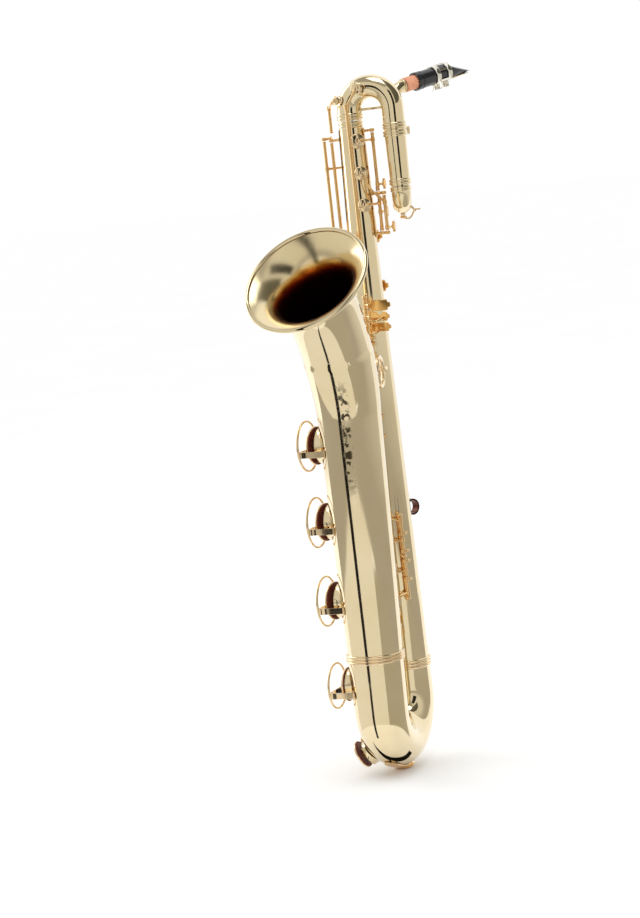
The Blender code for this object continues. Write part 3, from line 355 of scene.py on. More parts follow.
def basis(axis, hint=None):
    axis = Vector(axis).normalized()
    hint = Vector(hint) if hint is not None else (Z if abs(axis.z) < 0.9 else Vector((1, 0, 0)))
    side = hint.cross(axis).normalized()
    return side, axis.cross(side)


def turned(base, axis, profile, sides, loop=False):
    """A turned shape: profile gives (distance along axis, radius)."""
    axis = Vector(axis).normalized()
    side, up = basis(axis)
    rows = []
    for along, radius in profile:
        radius = max(radius, 0.0005)
        rows.append(hoop(Vector(base) + axis * along, side, up, radius, sides))
    return skin(rows, loop)


def rod(start, end, radius, end_radius=None, sides=20, soft=0.3):
    """A round bar with softened ends."""
    length = (Vector(end) - Vector(start)).length
    last = radius if end_radius is None else end_radius
    soft = min(soft, radius * 0.45, last * 0.45, length * 0.3)
    profile = ((0, radius - soft), (soft * 0.3, radius - soft * 0.3), (soft, radius), (length - soft, last),
               (length - soft * 0.3, last - soft * 0.3), (length, last - soft))
    return turned(start, Vector(end) - Vector(start), profile, sides)


def swept(points, radii, sides, flat=1.0, hint=None, loop=False):
    """A round or flattened bar along a path, its section carried along without twisting."""
    points = [Vector(p) for p in points]
    count = len(points)
    tangents = []
    for i in range(count):
        before = points[(i - 1) % count] if loop or i else points[0]
        after = points[(i + 1) % count] if loop or i < count - 1 else points[-1]
        tangents.append((after - before).normalized())
    side, up = basis(tangents[0], hint)
    rows = []
    for point, tangent, radius in zip(points, tangents, radii):
        side = (side - tangent * side.dot(tangent)).normalized()
        up = tangent.cross(side)
        rows.append(hoop(point, side, up, radius, sides, flat))
    return skin(rows, loop)


def ring(centre, normal, radius, wire, sides, wire_sides):
    """A round wire bent into a circle."""
    points = hoop(Vector(centre), *basis(normal), radius, sides)
    return swept(points, [wire] * sides, wire_sides, hint=normal, loop=True)


def curve(points, per=6):
    """A smooth line through points (Catmull-Rom)."""
    points = [Vector(p) for p in points]
    padded = [points[0] * 2 - points[1]] + points + [points[-1] * 2 - points[-2]]
    out = []
    for a, b, c, d in zip(padded, padded[1:], padded[2:], padded[3:]):
        for i in range(per):
            t = i / per
            out.append(0.5 * (2 * b + (c - a) * t + (2 * a - 5 * b + 4 * c - d) * t ** 2
                              + (3 * b - a - 3 * c + d) * t ** 3))
    out.append(points[-1])
    return out


def from_bmesh(bm):
    verts = [v.co.copy() for v in bm.verts]
    faces = [tuple(v.index for v in f.verts) for f in bm.faces]
    bm.free()
    return verts, faces


def slab(centre, size, along=Z, face=(0, -1, 0), soft=0.7):
    """A rounded plate: size is (across, along, thick)."""
    along = Vector(along).normalized()
    face = Vector(face)
    face = (face - along * face.dot(along)).normalized()
    across = along.cross(face)
    bm = bmesh.new()
    bmesh.ops.create_cube(bm, size=1.0)
    bmesh.ops.scale(bm, vec=size, verts=bm.verts)
    corners = [e for e in bm.edges if abs(e.verts[0].co.z - e.verts[1].co.z) > 0.01]
    bmesh.ops.bevel(bm, geom=corners, offset=min(size[0], size[1]) * 0.28, segments=5, affect="EDGES")
    bmesh.ops.bevel(bm, geom=list(bm.edges), offset=min(soft, size[2] * 0.42), segments=3, affect="EDGES",
                    clamp_overlap=True)
    spin = Matrix((across, along, face)).transposed().to_4x4()
    bmesh.ops.transform(bm, matrix=Matrix.Translation(centre) @ spin, verts=bm.verts)
    bm.verts.index_update()
    return from_bmesh(bm)


def cutout(outline, thick, place, across, up, soft):
    """A flat outline given as (across, up) points, thick centred on its plane, edges softened."""
    bm = bmesh.new()
    face = bm.faces.new([bm.verts.new((x, y, -thick / 2)) for x, y in outline])
    grown = bmesh.ops.extrude_face_region(bm, geom=[face])
    top = [v for v in grown["geom"] if isinstance(v, bmesh.types.BMVert)]
    bmesh.ops.translate(bm, vec=(0, 0, thick), verts=top)
    rims = [e for e in bm.edges if abs(e.verts[0].co.z - e.verts[1].co.z) < 1e-6]
    bmesh.ops.bevel(bm, geom=rims, offset=soft, segments=2, affect="EDGES", clamp_overlap=True)
    across, up = Vector(across).normalized(), Vector(up).normalized()
    spin = Matrix((across, up, across.cross(up))).transposed().to_4x4()
    bmesh.ops.transform(bm, matrix=Matrix.Translation(place) @ spin, verts=bm.verts)
    bm.verts.index_update()
    return from_bmesh(bm)


# ================================================================ tubes

def tone_hole(piece, foot, face, lip, cup_radius, tube_r, along=Z):
    """A drawn chimney: flared where it leaves the tube, rounded at its lip, with painted shade down the hole.
    """
    face = Vector(face).normalized()
    up = (along - face * along.dot(face)).normalized()
    side = up.cross(face)
    angles = turns(56)
    wall = cup_radius - 2.6

    def row(radius, height, saddle):
        points = []
        for t in angles:
            rise = math.sqrt(max(tube_r ** 2 - (radius * math.cos(t)) ** 2, 1.0)) if saddle else 0.0
            points.append(Vector(foot) + face * (height + rise) + side * (radius * math.cos(t))
                          + up * (radius * math.sin(t)))
        return points

    floor = math.sqrt(max(tube_r ** 2 - wall ** 2, 9.0)) - 1.0
    rows = [row(wall + 1.8, -0.5, True), row(wall + 0.9, 0.25, True), row(wall + 0.25, 0.9, True),
            row(wall + 0.05, lip - 0.9, False), row(wall + 0.45, lip - 0.55, False),
            row(wall + 0.45, lip - 0.2, False), row(wall + 0.15, lip, False), row(wall - 0.6, lip, False),
            row(wall - 1.0, lip - 0.4, False), row(wall - 1.2, lip - 1.4, False),
            row(wall - 1.2, floor, False)]
    start = len(piece.faces)
    piece.add(skin(rows))
    # Faces from here on are the inside of the hole and take the bore's painted shade.
    down_the_hole = start + len(angles) * 9
    piece.slots[down_the_hole:] = [1] * (len(piece.slots) - down_the_hole)


def bead(piece, centre, axis, radius, height, thick, ridges=2):
    """A soldered ring with rounded ridges round a tube."""
    profile = [(-height / 2, radius - 0.6), (-height / 2, radius + 0.2)]
    step = height / ridges
    for i in range(ridges):
        middle = -height / 2 + step * (i + 0.5)
        for j in range(9):
            t = math.pi * j / 8
            profile.append((middle - math.cos(t) * step * 0.46, radius + 0.3 + thick * math.sin(t)))
    profile += [(height / 2, radius + 0.2), (height / 2, radius - 0.6)]
    piece.lathe(centre, axis, profile, 96, loop=True)


BODY_HOLES = {
    "d_key": (-17, 92, 18.5), "e_key": (-17, 136, 18.5), "f_key": (-17, 179, 17.5),
    "fsharp_key": (-17, 220, 16.5), "gsharp_key": (-41, 296, 14.0), "g_key": (-41, 336, 16.0),
    "a_key": (-41, 374, 14.5), "bis_key": (-41, 452, 9.5), "b_key": (-41, 484, 12.5),
    "side_bb_key": (-127, 520, 11.5), "side_c_key": (-127, 566, 11.0), "palm_d_key": (38, 646, 9.5),
    "palm_eb_key": (38, 690, 9.5), "high_e_key": (-142, 700, 9.0), "palm_f_key": (38, 734, 10.5),
    "low_eb_key": (-97, 44, 21.0),
}
BELL_HOLES = {"low_b_key": (115, 26.5), "low_bb_key": (225, 26.5), "low_a_key": (331, 26.5)}
BELL_GUARD_R = 34.0
CSHARP_Z = -2.0
CSHARP_GUARD_R = 31.0
LOW_C_BEND = math.radians(58)
LOW_C_FACE = Vector((-0.88, -0.12, -0.46)).normalized()


def body_hole(name):
    facing, z, cup_radius = BODY_HOLES[name]
    return Z * z, direction(facing), body_radius(z) + CHIMNEY_H, cup_radius


def bell_centre(run):
    if run <= BELL_STRAIGHT:
        return bell_axis(BELL_FOOT + run), Vector(Z)
    angle = (run - BELL_STRAIGHT) / BELL_BEND_R
    ahead = direction(BELL_LEAN)
    centre = bell_axis(BELL_FOOT + BELL_STRAIGHT + BELL_BEND_R * math.sin(angle))
    return centre + ahead * BELL_BEND_R * (1 - math.cos(angle)), ahead * math.sin(angle) + Z * math.cos(angle)


def bell_radius(run):
    straight = BELL_FOOT_R + 5.5 * (run / BELL_STRAIGHT) ** 0.8
    if run > BELL_STRAIGHT:
        straight += 4.0 * (run - BELL_STRAIGHT) / (FLARE_START - BELL_STRAIGHT)
    if run <= FLARE_START:
        return straight
    start = BELL_FOOT_R + 9.5 + 0.03 * (run - FLARE_START)
    part = (run - FLARE_START) / (BELL_STRAIGHT + BELL_ARC - FLARE_START)
    return start + (RIM_R - 2 - start) * part ** FLARE_POWER


def bell_row(run, radius):
    centre, tangent = bell_centre(run)
    side = Z.cross(direction(BELL_LEAN))
    return hoop(centre, side, tangent.cross(side), radius, 128)


def bell_hole(name):
    z, cup_radius = BELL_HOLES[name]
    return bell_axis(z), direction(BELL_FACE), bell_radius(z - BELL_FOOT) + CHIMNEY_H, cup_radius


def csharp_hole():
    return bell_axis(CSHARP_Z), direction(BELL_FACE), BELL_FOOT_R + CHIMNEY_H, 24.0


def low_c_hole():
    foot = at(0, -BOW_R - BOW_R * math.cos(LOW_C_BEND), -BOW_DROP - BOW_R * math.sin(LOW_C_BEND))
    return foot, LOW_C_FACE, BELL_FOOT_R - 1.5 + CHIMNEY_H, 20.0


def vent_hole():
    return at(2.0, 0, 792.0), Vector((-0.62, -0.78, 0.0)).normalized(), 17.0 + CHIMNEY_H, 7.0


def front_f_hole():
    middle, angle = LOOP_X / 2, math.radians(72)
    foot = at(middle - middle * math.cos(angle), 0, LOOP_TOP + middle * math.sin(angle))
    return foot, at(0, -1, 0), 16.6 + CHIMNEY_H, 8.0


def shell(piece, outer, inner):
    """A thin-walled tube from its outer rows and, in the same order, its inner ones."""
    start, count = len(piece.faces), len(outer[0])
    piece.add(skin(outer + inner[::-1], loop=True))
    # The inner rows take the second look, the bore's painted shade.
    first = start + count * len(outer)
    piece.slots[first:first + count * (len(inner) - 1)] = [1] * (count * (len(inner) - 1))


def graded(first, last, count):
    return [first + (last - first) * i / (count - 1) for i in range(count)]


def upright(piece, x, y, levels, outer, inner, count):
    """A straight standing tube, from its outer and inner radius at each level."""
    rows = [[hoop(at(x, y, z), at(1, 0, 0), at(0, 1, 0), radius, count) for z, radius in zip(levels, radii)]
            for radii in (outer, inner)]
    shell(piece, *rows)


def make_body_tube():
    tube = Piece(TUBE, BORE_SHADE)
    levels = graded(0, BODY_TOP, 13)
    radii = [body_radius(z) for z in levels]
    upright(tube, 0, 0, levels, radii, [radius - WALL for radius in radii], 96)
    for name, (_, z, _) in BODY_HOLES.items():
        tone_hole(tube, *body_hole(name), body_radius(z))
    bead(tube, Z * (BODY_TOP - 5.0), Z, BODY_TOP_R, 9.0, 1.2)
    tube.build("body_tube_brass", slot="lacquered_tube", replaces=["body_tube"])


def make_bell():
    bell, inside = Piece(BELL, BORE_SHADE), Piece(painted_shade_lining())
    runs = [BELL_STRAIGHT * i / 8 for i in range(8)]
    runs += [BELL_STRAIGHT + BELL_ARC * (1 - (1 - i / 56) ** 1.5) for i in range(57)]
    for piece, outer, inner in ((bell, 0.0, WALL / 2), (inside, WALL / 2 + 0.05, WALL)):
        rows = [bell_row(run, bell_radius(run) - outer) for run in runs]
        piece.add(skin(rows + [bell_row(run, bell_radius(run) - inner) for run in runs[::-1]], loop=True))
    centre, tangent = bell_centre(BELL_STRAIGHT + BELL_ARC)
    bell.add(ring(centre - tangent * 1.5, tangent, RIM_R - 3.4, 3.3, sides=160, wire_sides=20))
    for name, (z, _) in BELL_HOLES.items():
        tone_hole(bell, *bell_hole(name), bell_radius(z - BELL_FOOT))
    bell.build("bell_brass", slot="lacquered_tube", replaces=["bell"], sharp=50)
    inside.build("bell_lining", slot="bell_inside")


def bow_centre(part):
    """A point, the tube's direction and its radius a part of the way round the bottom bow."""
    drop, rise = BOW_DROP, BELL_FOOT + BOW_DROP
    arc = math.pi * BOW_R
    run = part * (drop + arc + rise)
    if run <= drop:
        return Z * (-0.6 - run * (drop - 0.6) / drop), -Z, BODY_FOOT_R + 0.8 * run / drop
    if run <= drop + arc:
        angle = (run - drop) / BOW_R
        centre = at(0, -BOW_R + BOW_R * math.cos(angle), -BOW_DROP - BOW_R * math.sin(angle))
        return centre, at(0, -math.sin(angle), -math.cos(angle)), 31.2 + 6.0 * (run - drop) / arc
    left = run - drop - arc
    return bell_axis(-BOW_DROP + left * (rise - 0.6) / rise), Vector(Z), 37.2 + 0.8 * left / rise


def bow_row(part, shrink=0.0):
    centre, tangent, radius = bow_centre(part)
    side = Z.cross(direction(BELL_LEAN))
    return hoop(centre, side, tangent.cross(side), radius - shrink, 112)


def make_bottom_bow():
    bow = Piece(TUBE, BORE_SHADE)
    parts = [i / 72 for i in range(73)]
    shell(bow, [bow_row(part) for part in parts], [bow_row(part, WALL) for part in parts])
    tone_hole(bow, *csharp_hole(), 37.8)
    tone_hole(bow, *low_c_hole(), 35.2, along=at(0, -math.sin(LOW_C_BEND), math.cos(LOW_C_BEND)))
    bow.build("bottom_bow_brass", slot="lacquered_tube", replaces=["bottom_bow"], sharp=50)


def make_ferrules():
    for node, centre, radius, height in (("body_ferrule", Z * 0, BODY_FOOT_R + 0.6, 13.0),
                                         ("bell_ferrule", bell_axis(BELL_FOOT), BELL_FOOT_R + 0.9, 12.0)):
        ferrule = Piece(PALE)
        bead(ferrule, centre, Z, radius, height, 1.6, ridges=3)
        ferrule.build(node + "_ring", replaces=[node])


def u_points(start, end, top):
    """A path up from start, over in a half circle at the height top, and down to end."""
    start, end = Vector(start), Vector(end)
    centre = (start + end) / 2
    centre.z = top
    arm = (end - start) / 2
    arm.z = 0
    rise = math.copysign(arm.length, top - start.z)
    points = [start]
    for i in range(41):
        angle = math.pi * i / 40
        points.append(centre - arm * math.cos(angle) + Z * (rise * math.sin(angle)))
    points.append(end)
    return points


def thin_tube(piece, points, radii, sides=72):
    outer = swept(points, radii, sides)[0]
    inner = swept(points, [radius - WALL for radius in radii], sides)[0]
    count = len(points)
    shell(piece, [outer[i * sides:(i + 1) * sides] for i in range(count)],
          [inner[i * sides:(i + 1) * sides] for i in range(count)])


def make_upper_bow():
    bow = Piece(TUBE, BORE_SHADE)
    points = u_points((0, 0, BODY_TOP + 0.6), (LOOP_X, 0, LEG_TOP), LOOP_TOP)
    thin_tube(bow, points, graded(17.0, 15.6, len(points)))
    for hole in (vent_hole(), front_f_hole()):
        tone_hole(bow, *hole, 16.8)
    bead(bow, Z * (BODY_TOP + 6.0), Z, 16.9, 9.0, 1.3)
    bead(bow, at(LOOP_X, 0, LEG_TOP + 5.0), Z, 15.5, 8.0, 1.2)
    bow.add(rod((14.5, 0, CROOK_BAR_Z), (LOOP_X - 13.5, 0, CROOK_BAR_Z), 1.9))
    for x in (17.0, LOOP_X - 15.4):
        inwards = at(math.copysign(1, 30 - x), 0, 0)
        bow.lathe(at(x, 0, CROOK_BAR_Z), inwards, ((-2, 4.4), (0, 4.2), (0.8, 3.2), (1.6, 2.0)), 24)
    bow.build("upper_bow_brass", slot="lacquered_tube", replaces=["upper_bow"], sharp=50)


def make_loop():
    leg = Piece(TUBE, BORE_SHADE)
    levels = graded(LEG_FOOT + 0.3, LEG_TOP - 0.6, 6)
    radii = graded(13.8, 15.2, 6)
    upright(leg, LOOP_X, 0, levels, radii, [radius - WALL for radius in radii], 72)
    bead(leg, at(LOOP_X, 0, LEG_TOP - 6), Z, 15.6, 8.5, 1.2)
    bead(leg, at(LOOP_X, 0, LEG_FOOT + 6), Z, 14.2, 8.5, 1.0)
    leg.build("loop_tube_brass", slot="lacquered_tube", replaces=["loop_tube"])


def small_bow_frame():
    start, end = at(LOOP_X, 0, LEG_FOOT - 0.3), at(RECEIVER.x, RECEIVER.y, LEG_FOOT - 0.3)
    across = (end - start).normalized()
    return start, end, across, across.cross(Z), (start + end) / 2 - Z * 26.0


def make_small_bow():
    start, end, across, side, low = small_bow_frame()
    bow = Piece(TUBE, BORE_SHADE, PALE)
    points = u_points(start, end, LEG_FOOT - 6.0)
    thin_tube(bow, points, graded(13.6, 12.4, len(points)))
    bead(bow, start - Z * 4.0, Z, 13.7, 6.5, 1.0)
    bead(bow, end - Z * 4.0, Z, 12.5, 6.5, 1.0)
    nipple = ((8, 5.2), (9.2, 5.0), (9.8, 3.8), (14, 3.5), (14.9, 3.3), (15, 2.3), (9, 2.2), (8, 2.2))
    bow.lathe(low, -Z, nipple, 32, loop=True, look=2)
    for offset in (-5.5, 5.5):
        foot = low + side * 9.0 + across * offset
        bow.add(rod(foot, foot + side * 7.6 - Z * 9.1, 1.7), 2)
    bow.build("small_bow_brass", slot="lacquered_tube", replaces=["small_bow"], sharp=50)


def make_receiver():
    tube = Piece(TUBE, BORE_SHADE, PALE)
    levels = graded(LEG_FOOT + 0.3, RECEIVER_TOP, 6)
    axis = at(RECEIVER.x, RECEIVER.y, 0)
    upright(tube, axis.x, axis.y, levels, graded(12.4, 12.0, 6), [11.1] * 6, 64)
    bead(tube, axis + Z * (LEG_FOOT + 6), Z, 12.4, 8.0, 1.0)
    clamp = ((0, 12.2), (0.4, 13.4), (1.2, 13.8), (15.6, 13.8), (16.6, 13.4), (17, 12.6), (17, 11.2),
             (0, 11.2))
    tube.lathe(axis + Z * (RECEIVER_TOP - 17), Z, clamp, 64, loop=True, look=2)
    out = direction(LUG_FACING)
    along = out.cross(Z)
    for sign in (-1, 1):
        centre = axis + out * 17.5 + Z * LUG_Z + along * (sign * 3.4)
        tube.add(slab(centre, (5.0, 11.0, 9.0), along=Z, face=out, soft=0.9), 2)
    tube.build("neck_receiver_brass", slot="lacquered_tube", replaces=["neck_receiver"])


def make_bow_guard():
    low = at(0, -BOW_R, -BOW_DROP - BOW_R)
    guard = Piece(GOLD, STEEL)
    foot = ((0, 15.0), (0.6, 15.8), (1.6, 15.6), (3.6, 13.6), (4.4, 13.2), (4.9, 12.6))
    guard.lathe(low - Z * 33.6, -Z, foot, 64)
    rows = []
    for i in range(15):
        part = 0.40 + 0.17 * i / 14
        centre, _, radius = bow_centre(part)
        out = at(0, centre.y + BOW_R, centre.z + BOW_DROP).normalized()
        width = 13.0 * math.sqrt(max(1 - ((i - 7) / 7.6) ** 2, 0.02))
        row = []
        for height in (radius + 0.3, radius + 1.9):
            for j in range(9):
                x = width * (j / 4 - 1) * (1 if height < radius + 1 else -1)
                row.append(centre + out * math.sqrt(height ** 2 - x ** 2) + at(x, 0, 0))
        rows.append(row)
    guard.add(skin(rows))
    for y in (-24.0, 24.0):
        spot = low + at(0, y, -34.0 + 8.6 * abs(y / 24.0) - 2.4)
        screw = ((-1.6, 2.4), (0.0, 2.4), (0.5, 2.0), (0.7, 1.2))
        guard.lathe(spot, at(0, y * 0.022, -1), screw, 20, look=1)
    guard.build("bow_guard_plate", replaces=["bow_guard"])


def make_brace():
    near, far = at(16.0, -14.0, 419.0), at(31.0, -99.0, 419.0)
    line = (far - near).normalized()
    middle = (near + far) / 2 + at(2.0, 0, 0)
    brace = Piece(PALE)
    side = line.cross(Z)
    brace.add(ring(middle, side, 20.0, 2.9, sides=80, wire_sides=20))
    brace.add(swept([middle - line * 19.0, near + line * 6.0, near - line * 1.0], [3.2, 3.6, 4.8], 24))
    brace.add(swept([middle + line * 19.0, far - line * 8.0, far + line * 2.0], [3.2, 3.6, 4.8], 24))
    for sign in (-1, 1):
        knot = ((-1.6, 3.4), (-0.8, 4.3), (0.8, 4.3), (1.6, 3.5))
        brace.lathe(middle + line * (sign * 20.5), line * sign, knot, 28)
    brace.build("bell_brace_ring", replaces=["bell_brace"])


def make_strap_ring():
    piece = Piece(PALE)
    piece.add(ring(RING, (1, 0, 0), 9.0, 1.85, sides=56, wire_sides=18))
    radius = body_radius(RING.z)
    piece.add(slab(at(0, radius + 0.9, RING.z), (13.6, 43.0, 2.0), face=(0, 1, 0), soft=0.8))
    piece.add(slab(at(0, radius + 3.0, RING.z), (5.4, 12.0, 5.0), face=(0, 1, 0), soft=1.2))
    piece.build("strap_ring_eye", replaces=["strap_ring"])


def make_thumb_hook():
    z, face = 216.0, direction(150)
    place = face * body_radius(z) + Z * z
    outline = [(8.0 + r * math.cos(math.radians(a)), r * math.sin(math.radians(a)))
               for r, angles in ((11.5, range(127, -101, -8)), (9.2, range(-97, 128, 8))) for a in angles]
    hook = Piece(HOOK_SHADE_BROWN, PALE, STEEL)
    # The hook itself takes the painted shade brown.
    hook.add(cutout(outline, 13.6, place, face, Z, soft=0.8))
    hook.add(slab(face * (body_radius(z) + 1.1) + Z * (z + 8), (15.4, 37.0, 1.9), face=face, soft=0.7), 1)
    screw = face * (body_radius(z) + 1.6) + Z * (z + 20)
    hook.lathe(screw, face, ((0, 3.4), (2.6, 3.4), (3.2, 2.8), (3.3, 1.0)), 28, look=2)
    hook.build("thumb_hook_sheet", replaces=["thumb_hook"])


make_body_tube()
make_bell()
make_bottom_bow()
make_ferrules()
make_upper_bow()
make_loop()
make_small_bow()
make_receiver()
make_bow_guard()
make_brace()
make_strap_ring()
make_thumb_hook()


# ================================================================ neck and mouthpiece

AHEAD = at(math.cos(NECK_YAW), math.sin(NECK_YAW), 0)
AXIS = AHEAD * math.cos(NECK_PITCH) + Z * math.sin(NECK_PITCH)
ACROSS = AXIS.cross(Z).normalized()
DOWN = -ACROSS.cross(AXIS).normalized()
BEND_END = math.pi / 2 - NECK_PITCH
BEND_Z = NECK_RISE - NECK_BEND_R * math.sin(BEND_END)
BASE = at(RECEIVER.x, RECEIVER.y, 0)
NECK_END = BASE + AHEAD * NECK_BEND_R * (1 - math.cos(BEND_END)) + Z * NECK_RISE
MOUTH = NECK_END + AXIS * MOUTHPIECE_START


def make_neck():
    points = [BASE + Z * z for z in (RECEIVER_TOP - 18, RECEIVER_TOP, BEND_Z)]
    for i in range(1, 25):
        angle = BEND_END * i / 24
        points.append(BASE + AHEAD * NECK_BEND_R * (1 - math.cos(angle))
                      + Z * (BEND_Z + NECK_BEND_R * math.sin(angle)))
    points.append(NECK_END + AXIS * 34.0)
    radii = graded(10.7, 8.6, len(points) - 2) + [8.2, 8.2]
    neck = Piece(TUBE, BORE_SHADE, PALE)
    thin_tube(neck, points, radii, 64)
    collar = ((0.6, 10.4), (0.6, 12.5), (1.0, 13.0), (2.2, 13.0), (2.7, 12.4), (3.2, 12.2), (3.8, 12.5),
              (4.6, 12.3), (5.0, 11.6), (5.0, 10.4))
    neck.lathe(BASE + Z * RECEIVER_TOP, Z, collar, 72, loop=True, look=2)
    stop = ((-1.4, 8.4), (-1.4, 9.4), (-0.8, 9.9), (0.6, 9.9), (1.4, 9.4), (1.4, 8.4))
    neck.lathe(NECK_END - AXIS * 1.8, AXIS, stop, 56, loop=True, look=2)
    neck.build("neck_brass", "neck", "lacquered_tube", ["neck"], sharp=50)
    cork = Piece(CORK)
    sleeve = ((1.0, 8.5), (1.0, 9.7), (1.5, 10.1), (18.0, 10.0), (33.4, 9.8), (34.0, 9.4), (34.0, 8.5))
    cork.lathe(NECK_END, AXIS, sleeve, 64, loop=True)
    cork.build("neck_cork_sleeve", "neck", "cork", ["neck_cork"])


def barrel(along):
    stops = ((0, 12.6), (0.8, 13.0), (4.6, 13.0), (5.6, 12.2), (48, MOUTHPIECE_R), (70, MOUTHPIECE_R - 0.8),
             (96, 8.6))
    for (a, low), (b, high) in zip(stops, stops[1:]):
        if along <= b:
            return low + (high - low) * (along - a) / (b - a)
    return stops[-1][1]


def mouthpiece_row(along, radius, clip=True):
    """A section of the mouthpiece: clip cuts the sloping beak above and the flat reed table below."""
    top = 1.6 + (79.0 - along) * 15.2 / 34.0
    row = []
    for t in turns(96):
        side, up = math.sin(t) * radius, math.cos(t) * radius
        if clip:
            up = min(up, top - 0.035 * side ** 2 * (top < 12.0))
            if along > 30.0:
                up = max(up, -9.2)
        row.append(MOUTH + AXIS * along + ACROSS * side - DOWN * up)
    return row


def make_mouthpiece():
    piece = Piece(EBONITE)
    rows = [mouthpiece_row(along, 9.9, False) for along in (58, 30)]
    rows += [mouthpiece_row(along, 10.3, False) for along in (6, 0.5)]
    shank = (0, 0.4, 0.8, 4.6, 5.0, 5.6, 12, 20, 28, 30, 30.1, 36, 44, 50, 52, 54, 55, 56)
    rows += [mouthpiece_row(along, barrel(along)) for along in (*shank, *range(58, 97))]
    piece.add(skin(rows))
    groove = ((-0.5, 12.0), (-0.4, 12.4), (0, 12.6), (0.4, 12.4), (0.5, 12.0))
    for along in (9.0, 11.0):
        piece.lathe(MOUTH + AXIS * along, AXIS, groove, 72, loop=True)
    piece.build("mouthpiece_body", "mouthpiece", "mouthpiece_rubber", ["mouthpiece"], sharp=28)


def make_reed():
    reed = Piece(CANE)
    rows = []
    for i in range(33):
        along = 30.0 + 2.0 * i
        thick = 2.7 if along < 62 else 0.35 + 2.35 * (1 - (along - 62) / 32.0) ** 1.25
        half = min(8.0, 0.4 + math.sqrt(max(12.4 ** 2 - (9.6 + thick * 0.4) ** 2, 1.0)))
        if along > 88:
            half *= math.sqrt(1 - ((along - 88) / 8.5) ** 2 * 0.8)
        row = [MOUTH + AXIS * along + ACROSS * x + DOWN * 9.5 for x in (-half, -half / 2, 0, half / 2, half)]
        for k in range(9):
            x = half * (1 - k / 4)
            bulge = 0.55 + 0.45 * math.sin(k / 4 * math.pi / 2)
            row.append(MOUTH + AXIS * along + ACROSS * x + DOWN * (9.5 + thick * bulge))
        rows.append(row)
    reed.add(skin(rows))
    reed.build("reed_cane", "mouthpiece", "reed_cane", ["reed"])


def make_ligature():
    middle = MOUTH + AXIS * LIGATURE_AT
    lig = Piece(SILVER)
    for low, high in ((-14.0, -6.4), (6.4, 14.0)):
        profile = [(low, 13.3), (low, 13.9), (low + 0.5, 14.25), (low + 1.2, 14.0), (high - 1.2, 14.0),
                   (high - 0.5, 14.25), (high, 13.9), (high, 13.3)]
        lig.lathe(middle, AXIS, profile, 96, loop=True)
    for degrees in (0, 62, -62, 128, -128):
        out = -DOWN * math.cos(math.radians(degrees)) + ACROSS * math.sin(math.radians(degrees))
        lig.add(slab(middle + out * 13.75, (3.6, 15.0, 0.8), along=AXIS, face=out, soft=0.3))
    for step in (-LIGATURE_STEP, LIGATURE_STEP):
        for sign in (-1, 1):
            centre = middle + AXIS * step + DOWN * 16.6 + ACROSS * (sign * 2.6)
            lig.add(slab(centre, (3.2, 6.4, 6.6), along=AXIS, face=DOWN, soft=0.8))
    lig.build("ligature_bands", "mouthpiece", "ligature_metal", ["ligature"])


def thumbscrew(node, centre, axis, length, shaft, head, look):
    """A screw with a waisted neck and a flat finger wing."""
    axis = Vector(axis).normalized()
    screw = Piece(look)
    start = centre - axis * length / 2
    profile = [(0, shaft * 0.6), (0.4, shaft)]
    profile += [(0.6 + 0.35 * i, shaft * (0.86 if i % 2 else 1.0)) for i in range(int((length - 2) / 0.35))]
    screw.lathe(start, axis, profile + [(length - 1.0, shaft)], 24)
    waist = ((-0.5, 0.4), (-0.5, 0.58), (0.4, 0.6), (1.4, 0.42), (2.8, 0.36), (4.0, 0.55))
    screw.lathe(centre + axis * length / 2, axis, [(h, head * part) for h, part in waist], 32)
    up = axis.cross(at(0.3, 0.2, 1.0)).normalized()
    wing = (2 * head + 2.6, 1.7 * head, 1.9)
    screw.add(slab(centre + axis * (length / 2 + 3.5 + head), wing, along=axis, face=up, soft=0.7))
    screw.build(node + "_wing", node, "screw_metal", [node])


def make_screws():
    for node, step in (("ligature_screw_back", -LIGATURE_STEP), ("ligature_screw_front", LIGATURE_STEP)):
        centre = MOUTH + AXIS * (LIGATURE_AT + step) + DOWN * 18.0
        thumbscrew(node, centre, AXIS.cross(DOWN), 11.0, 1.4, 3.2, SILVER)
    out = direction(LUG_FACING)
    centre = BASE + Z * LUG_Z + out * 18.2
    thumbscrew("neck_screw", centre, -out.cross(Z), 15.0, 1.9, 4.5, GOLD)


# ================================================================ keywork

